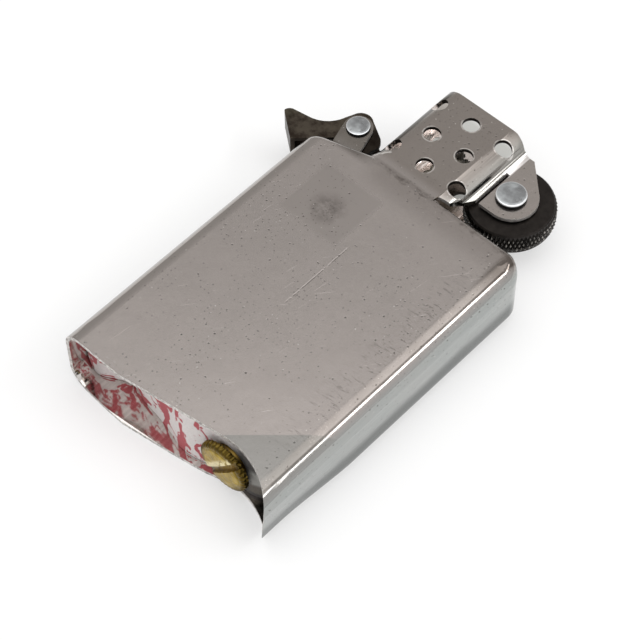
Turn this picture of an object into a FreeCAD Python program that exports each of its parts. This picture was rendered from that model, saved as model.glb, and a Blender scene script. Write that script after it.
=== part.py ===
import FreeCAD, Part
import Sketcher
import math
import os

# Slim inner unit of a windproof lighter, lying on one broad face.
# X runs across the width from the cam side to the wheel side, Y from the open filling end to the
# chimney, Z up through the thickness. The origin is the centre of the broad face it lies on.

Vector = FreeCAD.Vector

SIZES = {
    # drawn shell
    "sheet": 0.45,
    "body_width": 28.0,
    "body_thick": 8.6,
    "body_length": 36.7,
    "section_round": 2.2,
    "wheel_side_round": 2.4,
    "cam_side_round": 1.0,
    "shoulder_round": 0.9,
    "slope_share": 0.528571,
    "slope_fall": 0.297297,
    # scalloped edge of the open end
    "scallop_start": 7.7,
    "scallop_line": 11.8,
    "scallop_rise": 1.88,
    "scallop_round": 9.0,
    "horn_reach": 1.05,
    # chimney
    "chimney_share": 0.146429,
    "chimney_half_share": 0.382143,
    "chimney_height": 12.4,
    "chimney_setback": 0.5,
    "chimney_round": 2.0,
    "skirt_width": 0.6,
    "skirt_low": 1.1,
    "skirt_high": 1.7,
    "rim_fall": 2.2,
    "hole_round": 0.95,
    "hole_spread": 4.4,
    "hole_row": 3.66,
    "hole_first": 2.65,
    "hole_turn": 31.7,
    # joggle from the chimney face down to the wheel ears
    "joggle_start": 3.55,
    "joggle_round": 2.6,
    "joggle_drop": 1.3,
    "joggle_foot": 0.4,
    "well_end": 2.9,
    # wheel, its ears and its rivet
    "wheel_share": 0.453571,
    "wheel_rise": 6.65,
    "wheel_round": 4.9,
    "wheel_wide": 2.8,
    "wheel_edge": 0.25,
    "wheel_running": 0.05,
    "knurl_count": 60,
    "knurl_depth": 0.2,
    "wheel_ear_round": 2.9,
    "wheel_ear_rise": 11.8,
    "wheel_ear_top": 0.7,
    "slit_width": 0.4,
    "slit_rise": 8.7,
    "notch_start": 3.8,
    "notch_gap": 0.55,
    "notch_run": 1.15,
    "notch_height": 0.94,
    "wheel_pin_round": 0.9,
    "wheel_head_round": 1.65,
    "wheel_head_thick": 0.42,
    # cam, its ears and its rivet
    "cam_share": 0.822857,
    "cam_stand": 4.201,
    "cam_wide": 2.6,
    "cam_gap": 0.15,
    "cam_running": 0.05,
    "cam_pin_round": 0.65,
    "cam_head_round": 1.3,
    "cam_head_thick": 0.36,
    "cam_ear_round": 1.6,
    "cam_ear_flare": 0.7,
    "cam_heel_round": 3.55,
    "cam_reach": 7.75,
    "head_bevel": 0.13,
    # leaf under the cam
    "leaf_thick": 0.3,
    "leaf_wide": 2.2,
    "leaf_gap": 0.15,
    "leaf_tip": 1.4,
    "leaf_bend": 0.4,
    "leaf_ramp": 3.22,
    "leaf_rivet_gap": 2.65,
    "leaf_overhang": 1.3,
    "leaf_slot_clear": 0.2,
    "leaf_slot_half": 2.1,
    "leaf_pin_round": 0.7,
    "leaf_head_round": 1.2,
    "leaf_head_thick": 0.4,
    # plate under the chimney
    "plate_thick": 0.6,
    "plate_clear": 0.55,
    "plate_overhang": 1.7,
    "plate_inset": 2.15,
    "plate_round": 0.8,
    # flint tube, flint, spring and screw
    "tube_round": 1.85,
    "tube_bore": 1.35,
    "tube_above": 0.7,
    "thread_round": 1.45,
    "thread_play": 0.05,
    "thread_long": 3.4,
    "thread_spare": 0.8,
    "flint_round": 1.2,
    "flint_long": 4.5,
    "flint_gap": 0.1,
    "tip_long": 1.8,
    "tip_stem": 0.6,
    "tip_stem_long": 1.0,
    "wire_round": 0.2,
    "coil_round": 0.9,
    "coil_turns": 18,
    "coil_gap": 0.05,
    "head_round": 3.0,
    "head_thick": 0.95,
    "head_depth": 0.78,
    "head_slot": 0.8,
    "head_slot_deep": 0.5,
    "slot_turn": 40.0,
    "screw_bevel": 0.2,
    "reed_count": 36,
    "reed_depth": 0.14,
    # felt
    "felt_depth": 2.3,
    "felt_thick": 2.6,
    "felt_clear": 0.12,
    "flap_clear": 0.35,
    "felt_hinge": 1.6,
    "felt_tube_clear": 0.15,
    # wick and packing
    "wick_round": 1.3,
    "wick_above": 8.5,
    "wick_gap": 2.6,
    "wick_clear": 0.1,
    "wick_bevel": 0.3,
    "wire_strand": 0.22,
    "wire_above": 0.5,
    "packing_clear": 0.25,
    "packing_gap": 0.3,
    "packing_soft_share": 0.236,
    "packing_narrow_share": 0.35,
    "packing_drop": 3.4,
    # how far each cutting shape runs past what it cuts
    "overrun": 1.5,
}


class Size:
    """A length with its value and the formula over the sheet that gives it."""

    def __init__(self, value, text):
        self.value = value
        self.text = text

    def __add__(self, other):
        return combine(self, other, "+")

    def __radd__(self, other):
        return combine(other, self, "+")

    def __sub__(self, other):
        return combine(self, other, "-")

    def __rsub__(self, other):
        return combine(other, self, "-")

    def __mul__(self, other):
        return combine(self, other, "*")

    def __rmul__(self, other):
        return combine(other, self, "*")

    def __truediv__(self, other):
        return combine(self, other, "/")

    def __neg__(self):
        return combine(0, self, "-")


def as_size(number):
    return number if isinstance(number, Size) else Size(float(number), repr(float(number)))


def combine(left, right, sign):
    left = as_size(left)
    right = as_size(right)
    values = {
        "+": left.value + right.value,
        "-": left.value - right.value,
        "*": left.value * right.value,
        "/": left.value / right.value if right.value else 0.0,
    }
    return Size(values[sign], f"({left.text} {sign} {right.text})")


def root(size):
    return Size(math.sqrt(size.value), f"sqrt({size.text})")


doc = FreeCAD.newDocument("lighter")
sheet = doc.addObject("Spreadsheet::Sheet", "sizes")
for row, (alias, number) in enumerate(SIZES.items(), start=1):
    sheet.set(f"A{row}", alias)
    sheet.set(f"B{row}", str(number))
    sheet.setAlias(f"B{row}", alias)
doc.recompute()


def read(alias):
    return float(sheet.get(alias))


def size(alias):
    return Size(read(alias), f"sizes.{alias}")


def bind(item, name, length):
    """Gives a property its value and ties it to the sheet."""
    item.setExpression(name, as_size(length).text)


def new_body(label):
    body = doc.addObject("PartDesign::Body", label + "_body")
    body.Label = label
    return body


def plane_of(body, role):
    return next(part for part in body.Origin.OriginFeatures if part.Role == role)


def arc_between(start, end, radius):
    """The lesser arc from start to end: a positive radius turns left, a negative one right."""
    chord = end - start
    middle = (start + end) * 0.5
    reach = math.sqrt(max(radius * radius - chord.Length * chord.Length / 4, 0.0))
    side = Vector(-chord.y, chord.x, 0).normalize() * math.copysign(reach, radius)
    centre = middle + side
    first, last = (start, end) if radius > 0 else (end, start)
    angles = [math.atan2((p - centre).y, (p - centre).x) for p in (first, last)]
    circle = Part.Circle(centre, Vector(0, 0, 1), abs(radius))
    return Part.ArcOfCircle(circle, angles[0], angles[1])


def draw(sketch, corners):
    """Draws a closed outline of (x, y) or (x, y, radius of the arc that leaves the corner)."""
    points = [Vector(as_size(c[0]).value, as_size(c[1]).value, 0) for c in corners]
    ends = []
    for index, corner in enumerate(corners):
        start = points[index]
        end = points[(index + 1) % len(points)]
        if len(corner) == 2:
            number = sketch.addGeometry(Part.LineSegment(start, end))
            ends.append((number, 1, 2))
            continue
        radius = as_size(corner[2])
        number = sketch.addGeometry(arc_between(start, end, radius.value))
        ends.append((number, 1, 2) if radius.value > 0 else (number, 2, 1))
        datum = sketch.addConstraint(Sketcher.Constraint("Radius", number, abs(radius.value)))
        length = radius if radius.value > 0 else -radius
        sketch.setExpression(f"Constraints[{datum}]", length.text)
    for index, (number, first, last) in enumerate(ends):
        following = ends[(index + 1) % len(ends)]
        sketch.addConstraint(Sketcher.Constraint("Coincident", number, last, following[0], following[1]))
        pin_point(sketch, number, first, corners[index])


def pin_point(sketch, number, position, corner):
    for kind, length in (("DistanceX", corner[0]), ("DistanceY", corner[1])):
        length = as_size(length)
        datum = sketch.addConstraint(
            Sketcher.Constraint(kind, -1, 1, number, position, length.value)
        )
        sketch.setExpression(f"Constraints[{datum}]", length.text)


def draw_circle(sketch, x, y, radius):
    centre = Vector(as_size(x).value, as_size(y).value, 0)
    number = sketch.addGeometry(Part.Circle(centre, Vector(0, 0, 1), radius.value))
    datum = sketch.addConstraint(Sketcher.Constraint("Radius", number, radius.value))
    sketch.setExpression(f"Constraints[{datum}]", radius.text)
    pin_point(sketch, number, 3, (x, y))


def new_sketch(body, name, plane, level=0, outlines=(), circles=()):
    """A sketch on XY at height level, or on XZ at depth level."""
    sketch = body.newObject("Sketcher::SketchObject", name)
    sketch.AttachmentSupport = (plane_of(body, plane), [""])
    sketch.MapMode = "FlatFace"
    level = as_size(level)
    bind(sketch, "AttachmentOffset.Base.z", level if plane == "XY_Plane" else -level)
    for corners in outlines:
        draw(sketch, corners)
    for x, y, radius in circles:
        draw_circle(sketch, x, y, radius)
    return sketch


def pad(body, sketch, length, both=False):
    """Pads away from the plane: up from XY and towards +Y from XZ, or to both sides."""
    feature = body.newObject("PartDesign::Pad", sketch.Name + "_pad")
    feature.Profile = sketch
    bind(feature, "Length", length)
    if both:
        feature.SideType = "Symmetric"
    else:
        feature.Reversed = "XZ_Plane" in sketch.AttachmentSupport[0][0].Role
    doc.recompute()
    return feature


def pocket(body, sketch, length):
    """Cuts to both sides of the sketch, and proves that something was cut."""
    before = body.Shape.Volume
    feature = body.newObject("PartDesign::Pocket", sketch.Name + "_pocket")
    feature.Profile = sketch
    bind(feature, "Length", length)
    feature.SideType = "Symmetric"
    doc.recompute()
    if body.Shape.Volume >= before:
        raise ValueError(f"{feature.Name} cuts nothing")
    return feature


def turn(body, sketch):
    feature = body.newObject("PartDesign::Revolution", sketch.Name + "_turn")
    feature.Profile = sketch
    feature.ReferenceAxis = (sketch, ["V_Axis"])
    feature.Angle = 360
    doc.recompute()
    return feature


def place(item, x, y, z):
    for letter, length in (("x", x), ("y", y), ("z", z)):
        bind(item, f"Placement.Base.{letter}", length)
    doc.recompute()


over = size("overrun")
wall = size("sheet")
half_width = size("body_width") / 2
thick = size("body_thick")
mid = thick / 2
top = size("body_length") / 2
mouth = -top
parts = {}


# The drawn shell is a slab whose top plate slopes down at the cam side.
slope_run = half_width * size("slope_share")
slope_drop = slope_run * size("slope_fall")
slope_long = root(slope_run * slope_run + slope_drop * slope_drop)
slope_x = slope_run / slope_long
slope_y = slope_drop / slope_long
slope_start = half_width - slope_run


def slab(name, inset, end):
    """The shell's outer form, or with an inset the room inside it, from the end up."""
    body = new_body(name)
    side = half_width - inset
    upper = top - inset
    knee = inset * (1 - slope_x) / slope_y - slope_start
    corners = [
        (-side, end),
        (side, end),
        (side, upper),
        (knee, upper),
        (-side, upper - (side + knee) * slope_y / slope_x),
    ]
    sketch = new_sketch(body, name + "_outline", "XY_Plane", mid, [corners])
    pad(body, sketch, thick - 2 * inset, both=True)
    rounded = doc.addObject("Part::Fillet", name + "_rounded")
    rounded.Base = body
    rounded.Edges = slab_edges(body.Shape, side.value, end.value, as_size(inset).value)
    doc.recompute()
    return rounded


def slab_edges(shape, side, end, inset):
    """Each edge of the slab with its own radius, as the drawing die leaves it."""
    section, shoulder, wheel_corner, cam_corner = [
        read(alias) - inset
        for alias in ("section_round", "shoulder_round", "wheel_side_round", "cam_side_round")
    ]
    chosen = []
    for number, edge in enumerate(shape.Edges, start=1):
        along = edge.tangentAt(edge.FirstParameter)
        middle = edge.CenterOfMass
        if abs(middle.y - end) < Part.Precision.approximation():
            continue
        if abs(along.z) > abs(along.x) and abs(along.z) > abs(along.y):
            radius = wheel_corner if middle.x > side / 2 else cam_corner
            if abs(middle.x) < side / 2:
                continue
        elif abs(along.y) > abs(along.x):
            radius = section
        else:
            radius = shoulder
        chosen.append((number, radius, radius))
    return chosen


# The chimney stands on the top plate. At its wheel end both faces joggle inwards and run on as ears.
chimney_x = -half_width * size("chimney_share")
chimney_half = half_width * size("chimney_half_share")
face_half = mid - size("chimney_setback")
rim = top + size("chimney_height")
joggle_x = chimney_x + size("joggle_start")
joggle_rest = size("joggle_round") - size("joggle_drop")
joggle_run = root(size("joggle_round") * size("joggle_round") - joggle_rest * joggle_rest)
foot_share = size("joggle_foot") / size("joggle_drop")
foot_x = joggle_x + joggle_run * (1 + foot_share)
ear_half = face_half - size("joggle_drop") - size("joggle_foot")
wheel_x = half_width * size("wheel_share")
wheel_y = top + size("wheel_rise")
ear_end = wheel_x + size("wheel_ear_round")


def chimney_section(inset, end):
    """Half of the section is mirrored: left end, face, joggle and ear out to the end."""
    left = chimney_x - chimney_half + inset
    face = face_half - inset
    corner = size("chimney_round") - inset
    bend = size("joggle_round") - inset
    foot = size("joggle_round") * foot_share + inset
    run_share = joggle_run / size("joggle_round")
    drop_share = size("joggle_drop") / size("joggle_round")
    low = face - bend * drop_share
    ear = low - foot * drop_share
    middle_x = joggle_x + bend * run_share
    return [
        (left + corner, mid - face),
        (joggle_x, mid - face, bend),
        (middle_x, mid - low, -foot),
        (foot_x, mid - ear),
        (end, mid - ear),
        (end, mid + ear),
        (foot_x, mid + ear, -foot),
        (middle_x, mid + low, bend),
        (joggle_x, mid + face),
        (left + corner, mid + face, corner),
        (left, mid + face - corner),
        (left, mid - face + corner, corner),
    ]


def chimney_block(name, inset, end, low, high):
    body = new_body(name)
    sketch = new_sketch(body, name + "_section", "XZ_Plane", low, [chimney_section(inset, end)])
    pad(body, sketch, high - low)
    return body


def rounded_box(left, right, half, corner):
    """A rounded rectangle about the middle plane."""
    return [
        (left + corner, mid - half),
        (right - corner, mid - half, corner),
        (right, mid - half + corner),
        (right, mid + half - corner, corner),
        (right - corner, mid + half),
        (left + corner, mid + half, corner),
        (left, mid + half - corner),
        (left, mid - half + corner, corner),
    ]


def skirt():
    """The foot of the chimney, which flares out to the broad faces."""
    body = new_body("chimney_skirt")
    left = chimney_x - chimney_half
    right = chimney_x + size("notch_start")
    sketches = []
    for name, spread, half, level in (
        ("skirt_foot", size("skirt_width"), mid, top - size("skirt_low")),
        ("skirt_head", 0, face_half, top + size("skirt_high")),
    ):
        corner = size("chimney_round")
        corners = [
            (left - spread + corner, mid - half),
            (right, mid - half),
            (right, mid + half),
            (left - spread + corner, mid + half, corner),
            (left - spread, mid + half - corner),
            (left - spread, mid - half + corner, corner),
        ]
        sketches.append(new_sketch(body, name, "XZ_Plane", level, [corners]))
    loft = body.newObject("PartDesign::AdditiveLoft", "skirt_loft")
    loft.Profile = sketches[0]
    loft.Sections = [sketches[1]]
    loft.Ruled = True
    doc.recompute()
    return body


# The cam turns on a pivot that stands square over the sloped plate.
pivot_height = size("cam_stand")
cam_pivot_x = -half_width * size("cam_share")
cam_pivot_y = top + (pivot_height + (cam_pivot_x + slope_start) * slope_y) / slope_x
cam_half = size("cam_wide") / 2
cam_gap_half = cam_half + size("cam_gap")


def over_slope(along, up):
    """A point given along the slope and square to it, from the cam's pivot."""
    return (
        cam_pivot_x + along * slope_x - up * slope_y,
        cam_pivot_y + along * slope_y + up * slope_x,
    )


def cam_ears():
    body = new_body("cam_ears")
    ear = size("cam_ear_round")
    flare = size("cam_ear_flare")
    foot = -pivot_height
    root_level = foot - wall / 2
    corners = [
        over_slope(-ear - flare, root_level),
        over_slope(ear + flare, root_level),
        (*over_slope(ear + flare, foot), -flare),
        over_slope(ear, foot + flare),
        (*over_slope(ear, 0), ear),
        (*over_slope(0, ear), ear),
        over_slope(-ear, 0),
        (*over_slope(-ear, foot + flare), -flare),
        over_slope(-ear - flare, foot),
    ]
    outline = new_sketch(body, "cam_ear_outline", "XY_Plane", mid, [corners])
    pad(body, outline, 2 * (cam_gap_half + wall), both=True)
    reach = ear + flare + over
    gap = [
        over_slope(-reach, foot),
        over_slope(reach, foot),
        over_slope(reach, reach),
        over_slope(-reach, reach),
    ]
    pocket(body, new_sketch(body, "cam_ear_gap", "XY_Plane", mid, [gap]), 2 * cam_gap_half)
    return body


# Cutting shapes of the shell
def cutter(name, outlines, length, circles=()):
    body = new_body(name)
    sketch = new_sketch(body, name + "_outline", "XY_Plane", mid, outlines, circles)
    pad(body, sketch, length, both=True)
    return body


through = thick + 2 * over
horn = mouth - size("horn_reach")
scallop_x = size("scallop_start") - half_width


def mouth_cutter():
    """Leaves the open end straight at the cam side, hollowed near the screw and a horn beside it."""
    corners = [
        (-half_width - over, mouth),
        (scallop_x, mouth),
        (scallop_x + size("scallop_line"), mouth + size("scallop_rise"), -size("scallop_round")),
        (half_width, horn),
        (half_width + over, horn),
        (half_width + over, horn - over),
        (-half_width - over, horn - over),
    ]
    return cutter("mouth_cutter", [corners], through)


def wheel_end_cutter():
    """Frees the wheel ears: the outside of their outline, the slit beside them and the notch below."""
    notch_x = chimney_x + size("notch_start")
    ear = size("wheel_ear_round")
    diagonal = ear / root(as_size(2))
    slit_x = foot_x - size("slit_width")
    far = ear_end + over
    corners = [
        (notch_x, top),
        (far, top),
        (far, rim + over),
        (foot_x - size("rim_fall"), rim + over),
        (foot_x - size("rim_fall"), rim),
        (foot_x, top + size("wheel_ear_rise")),
        (foot_x + size("wheel_ear_top"), top + size("wheel_ear_rise")),
        (wheel_x + diagonal, wheel_y + diagonal, -ear),
        (wheel_x, wheel_y - ear),
        (foot_x, wheel_y - ear),
        (foot_x, top + size("slit_rise")),
        (slit_x, top + size("slit_rise")),
        (slit_x, wheel_y - ear),
        (notch_x + size("notch_run"), top + size("notch_height")),
        (notch_x, top + size("notch_gap")),
    ]
    return cutter("wheel_end_cutter", [corners], through)


def face_holes():
    """Holes straight through both broad faces of the chimney, in rows of two."""
    for row, columns in enumerate(((0, 1), (-0.5, 0.5), (0, 1))):
        for column in columns:
            x = chimney_x + column * size("hole_spread")
            yield x, top + size("hole_first") + row * size("hole_row"), size("hole_round")


def corner_holes():
    """The outer column lies on the chimney's rounded end, so each hole there is square to the rounding."""
    found = []
    round_at = size("chimney_round")
    for row, rows_up in (("low", 0), ("high", 2)):
        for face, turn_by, side in (
            ("upper", -read("hole_turn"), 1),
            ("lower", read("hole_turn") - 180, -1),
        ):
            hole = doc.addObject("Part::Cylinder", f"{row}_{face}_corner_hole")
            bind(hole, "Radius", size("hole_round"))
            bind(hole, "Height", 2 * round_at)
            hole.Placement.Rotation = FreeCAD.Rotation(Vector(0, 1, 0), turn_by)
            place(
                hole, chimney_x - chimney_half + round_at,
                top + size("hole_first") + rows_up * size("hole_row"),
                mid + side * (face_half - round_at),
            )
            found.append(hole)
    return found


def insert_case():
    outer = doc.addObject("Part::MultiFuse", "case_outside")
    outer.Shapes = [
        slab("case_slab", 0, horn - over / 2),
        chimney_block("chimney_block", 0, ear_end, top - size("skirt_low"), rim),
        skirt(),
        cam_ears(),
    ]
    left = chimney_x - chimney_half + wall
    well = rounded_box(left, size("well_end"), face_half - wall, size("chimney_round") - wall)
    well_body = new_body("chimney_well")
    well_low = top - 2 * wall
    sketch = new_sketch(well_body, "chimney_well_section", "XZ_Plane", well_low, [well])
    pad(well_body, sketch, 2 * wall + size("skirt_high"))
    tube_body = new_body("tube_hole")
    hole = (wheel_x, mid, size("tube_round"))
    sketch = new_sketch(tube_body, "tube_hole_section", "XZ_Plane", well_low, circles=[hole])
    pad(tube_body, sketch, 3 * wall)
    slot_side = size("leaf_slot_half")
    slot = [
        over_slope(-slot_side, -pivot_height - 2 * wall),
        over_slope(slot_side, -pivot_height - 2 * wall),
        over_slope(slot_side, -pivot_height + wall),
        over_slope(-slot_side, -pivot_height + wall),
    ]
    pins = [
        (wheel_x, wheel_y, size("wheel_pin_round")),
        (cam_pivot_x, cam_pivot_y, size("cam_pin_round")),
    ]
    inner = doc.addObject("Part::MultiFuse", "case_inside")
    inner.Shapes = [
        slab("case_room", wall, horn - over),
        chimney_block("chimney_room", wall, ear_end + over, top, rim + over),
        well_body,
        tube_body,
        mouth_cutter(),
        wheel_end_cutter(),
        cutter("leaf_slot", [slot], size("leaf_wide") + 2 * size("leaf_slot_clear")),
        cutter("pin_and_face_holes", [], through, pins + list(face_holes())),
        *corner_holes(),
    ]
    case = doc.addObject("Part::Cut", "insert_case_cut")
    case.Base = outer
    case.Tool = inner
    case.Label = "insert_case"
    doc.recompute()
    return case


parts["insert_case"] = insert_case()


# Round pieces: a profile of (radius, height) turned about an upright or a lengthwise axis
def turned(label, plane, corners):
    body = new_body(label)
    turn(body, new_sketch(body, label + "_profile", plane, 0, [corners]))
    parts[label] = body
    return body


def rivet_profile(pin, head, inside, head_thick):
    """A shank between two low heads with rounded rims."""
    outside = inside + head_thick
    bevel = size("head_bevel")
    return [
        (0, -outside),
        (head - bevel, -outside, bevel),
        (head, -outside + bevel),
        (head, -inside),
        (pin, -inside),
        (pin, inside),
        (head, inside),
        (head, outside - bevel, bevel),
        (head - bevel, outside),
        (0, outside),
    ]


def add_flutes(body, name, plane, round_at, deep, count, length):
    """V grooves round a rim, each as wide as its share of the rim."""
    half = round_at * math.tan(math.pi / count)
    corners = [(round_at - deep, 0), (round_at + deep, half * 2), (round_at + deep, -half * 2)]
    groove = pocket(body, new_sketch(body, name, plane, 0, [corners]), length)
    pattern = body.newObject("PartDesign::PolarPattern", name + "_round")
    pattern.Originals = [groove]
    axis = "Z_Axis" if plane == "XY_Plane" else "Y_Axis"
    pattern.Axis = (plane_of(body, axis), [""])
    pattern.Angle = 360
    pattern.Occurrences = int(count)
    body.Tip = pattern
    doc.recompute()


# Spark wheel: hardened steel with flat sides and a knurled rim
wheel_half = size("wheel_wide") / 2
rim_edge = size("wheel_edge")
wheel_bore = size("wheel_pin_round") + size("wheel_running")
wheel = turned("flint_wheel", "XZ_Plane", [
    (wheel_bore, -wheel_half),
    (size("wheel_round") - rim_edge, -wheel_half),
    (size("wheel_round"), rim_edge - wheel_half),
    (size("wheel_round"), wheel_half - rim_edge),
    (size("wheel_round") - rim_edge, wheel_half),
    (wheel_bore, wheel_half),
])
add_flutes(
    wheel, "knurl", "XY_Plane", size("wheel_round"), size("knurl_depth"), read("knurl_count"),
    size("wheel_wide") + over,
)
place(wheel, wheel_x, wheel_y, mid)

place(turned("wheel_rivet", "XZ_Plane", rivet_profile(
    size("wheel_pin_round"), size("wheel_head_round"), ear_half, size("wheel_head_thick"),
)), wheel_x, wheel_y, mid)

place(turned("cam_rivet", "XZ_Plane", rivet_profile(
    size("cam_pin_round"), size("cam_head_round"), cam_gap_half + wall, size("cam_head_thick"),
)), cam_pivot_x, cam_pivot_y, mid)


# Cam: folded sheet, two side plates joined along the front of the head
CAM_SHARES = {
    "head_tip": (-1.0, -0.413),
    "head_top": (-0.903, -0.310),
    "neck": (-0.645, -0.265),
    "shoulder": (-0.290, 0.058),
    "crown_start": (-0.239, 0.181),
    "crown_end": (0.039, 0.265),
    "back": (0.284, 0.123),
    "heel_back": (0.394, -0.039),
    "belly": (-0.155, -0.297),
    "head_low": (-0.455, -0.591),
    "head_foot": (-0.595, -0.720),
}
CAM_ARC_SHARES = {"head_tip": -0.11, "neck": 0.465, "crown_start": -0.174, "back": -0.194}
CAM_HEEL_SHARES = {"heel_end": (0.732, -0.681), "heel_start": (0.169, -0.986)}


def cam_point(name):
    reach = size("cam_reach")
    x, y = CAM_SHARES[name]
    if name in CAM_ARC_SHARES:
        return x * reach, y * reach, CAM_ARC_SHARES[name] * reach
    return x * reach, y * reach


def cam():
    body = new_body("cam")
    heel = size("cam_heel_round")
    (end_x, end_y), (start_x, start_y) = CAM_HEEL_SHARES.values()
    names = list(CAM_SHARES)
    corners = [cam_point(name) for name in names[:names.index("belly")]]
    corners += [(end_x * heel, end_y * heel, -heel), (start_x * heel, start_y * heel)]
    corners += [cam_point(name) for name in names[names.index("belly"):]]
    pad(body, new_sketch(body, "cam_outline", "XY_Plane", 0, [corners]), 2 * cam_half, both=True)
    tip_x, tip_y = cam_point("head_tip")[:2]
    foot_end_x, foot_end_y = cam_point("head_foot")
    front = root((foot_end_x - tip_x) * (foot_end_x - tip_x) + (tip_y - foot_end_y) * (tip_y - foot_end_y))
    along_x = (foot_end_x - tip_x) / front
    along_y = (foot_end_y - tip_y) / front

    def behind_front(along, behind):
        return (
            tip_x + along * along_x - behind * along_y,
            tip_y + along * along_y + behind * along_x,
        )

    deep = 2 * size("cam_reach")
    room = [
        behind_front(-front, wall),
        behind_front(2 * front, wall),
        behind_front(2 * front, deep),
        behind_front(-front, deep),
    ]
    pocket(body, new_sketch(body, "cam_room", "XY_Plane", 0, [room]), 2 * (cam_half - wall))
    bore = (0, 0, size("cam_pin_round") + size("cam_running"))
    pocket(body, new_sketch(body, "cam_bore", "XY_Plane", circles=[bore]), 2 * cam_half + over)
    parts["cam"] = body
    return body


place(cam(), cam_pivot_x, cam_pivot_y, mid)


# Plate under the chimney, and the leaf that is riveted to it
plate_top = top - wall
plate_low = plate_top - size("plate_thick")
leaf_level = plate_low - size("leaf_thick") / 2
leaf_rivet_x = chimney_x - size("leaf_rivet_gap")
plate = new_body("inner_plate")
plate_holes = [
    (chimney_x, mid, size("wick_round") + size("wick_clear")),
    (wheel_x, mid, size("tube_round")),
    (leaf_rivet_x, mid, size("leaf_pin_round")),
]
plate_outline = rounded_box(
    leaf_rivet_x - size("plate_overhang"), half_width - wall - size("plate_inset"),
    mid - wall - size("plate_clear"), size("plate_round"),
)
plate_sketch = new_sketch(plate, "plate_outline", "XZ_Plane", plate_low, [plate_outline], plate_holes)
pad(plate, plate_sketch, size("plate_thick"))
parts["inner_plate"] = plate


def cam_spring():
    """A flat leaf from its rivet out through the slot, with its tip just under the cam's heel."""
    body = new_body("cam_spring")
    half = size("leaf_thick") / 2
    tip_level = -(size("cam_heel_round") + size("leaf_gap") + half)
    bend = over_slope(size("leaf_bend"), tip_level)
    tip = over_slope(-size("leaf_tip"), tip_level)
    line = [
        (leaf_rivet_x + size("leaf_overhang"), leaf_level),
        (cam_pivot_x + size("leaf_ramp"), leaf_level),
        bend,
        tip,
    ]
    corners = [(x, y + half) for x, y in line] + [(x, y - half) for x, y in reversed(line)]
    sketch = new_sketch(body, "leaf_outline", "XY_Plane", mid, [corners])
    pad(body, sketch, size("leaf_wide"), both=True)
    hole = new_sketch(
        body, "leaf_hole", "XZ_Plane", leaf_level,
        circles=[(leaf_rivet_x, mid, size("leaf_pin_round"))],
    )
    pocket(body, hole, size("leaf_thick") * 2)
    parts["cam_spring"] = body


cam_spring()
rivet_half = (plate_top - leaf_level + size("leaf_thick") / 2) / 2
place(turned("spring_rivet", "XY_Plane", rivet_profile(
    size("leaf_pin_round"), size("leaf_head_round"), rivet_half, size("leaf_head_thick"),
)), leaf_rivet_x, plate_top - rivet_half, mid)


# Flint tube with a threaded mouth, and what runs in it
tube_low = mouth + size("head_depth") + size("head_thick")
tube_high = top + size("tube_above")
thread_bore = size("thread_round") + size("thread_play")
thread_end = tube_low + size("thread_long") + size("thread_spare")
place(turned("flint_tube", "XY_Plane", [
    (thread_bore, tube_low),
    (size("tube_round"), tube_low),
    (size("tube_round"), tube_high),
    (size("tube_bore"), tube_high),
    (size("tube_bore"), thread_end),
    (thread_bore, thread_end),
]), wheel_x, 0, mid)

flint_top = wheel_y - size("wheel_round") - size("flint_gap")
flint = doc.addObject("Part::Cylinder", "flint_rod")
flint.Label = "flint"
bind(flint, "Radius", size("flint_round"))
bind(flint, "Height", size("flint_long"))
flint.Placement.Rotation = FreeCAD.Rotation(Vector(1, 0, 0), -90)
place(flint, wheel_x, flint_top - size("flint_long"), mid)
parts["flint"] = flint

tip_top = flint_top - size("flint_long")
tip_cap = size("tip_long") - size("tip_stem_long")
place(turned("spring_tip", "XY_Plane", [
    (0, -size("tip_long")),
    (size("tip_stem"), -size("tip_long")),
    (size("tip_stem"), -tip_cap),
    (size("flint_round"), -tip_cap),
    (size("flint_round"), 0),
    (0, 0),
]), wheel_x, tip_top, mid)

screw_face = mouth + size("head_depth")
screw_end = tube_low + size("thread_long")
screw_bevel = size("screw_bevel")
screw = turned("flint_screw", "XY_Plane", [
    (0, 0),
    (size("head_round") - screw_bevel, 0),
    (size("head_round"), screw_bevel),
    (size("head_round"), size("head_thick")),
    (size("thread_round"), size("head_thick")),
    (size("thread_round"), screw_end - screw_face),
    (0, screw_end - screw_face),
])
slot_half = size("head_slot") / 2
slot_outline = [
    (-slot_half, -over),
    (slot_half, -over),
    (slot_half, size("head_slot_deep")),
    (-slot_half, size("head_slot_deep")),
]
pocket(screw, new_sketch(screw, "coin_slot", "XY_Plane", 0, [slot_outline]), 3 * size("head_round"))
add_flutes(
    screw, "reeding", "XZ_Plane", size("head_round"), size("reed_depth"), read("reed_count"),
    2 * size("head_thick"),
)
screw.Placement.Rotation = FreeCAD.Rotation(Vector(0, 1, 0), read("slot_turn"))
place(screw, wheel_x, screw_face, mid)


# Flint spring: one wire, its turns as pairs of tangent arcs
def coil_arcs(radius, rise, turns):
    """Arcs along a helix about +Y, two to each quarter turn and tangent where they meet."""
    quarters = 4 * turns
    edges = []

    def at(index):
        angle = math.pi / 2 * index
        point = Vector(radius * math.cos(angle), rise * index / quarters, radius * math.sin(angle))
        climb = rise / (quarters * math.pi / 2)
        heading = Vector(-radius * math.sin(angle), climb, radius * math.cos(angle)).normalize()
        return point, heading

    for index in range(quarters):
        start, leaving = at(index)
        end, arriving = at(index + 1)
        span = end - start
        sides = leaving + arriving
        square = 4 - sides.dot(sides)
        linear = 2 * span.dot(sides)
        handle = (-linear + math.sqrt(linear * linear + 4 * square * span.dot(span))) / (2 * square)
        first_pole = start + leaving * handle
        second_pole = end - arriving * handle
        joint = (first_pole + second_pole) * 0.5
        edges.append(arc_by_pole(start, first_pole, joint))
        edges.append(arc_by_pole(joint, second_pole, end))
    return Part.Wire(edges)


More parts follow.
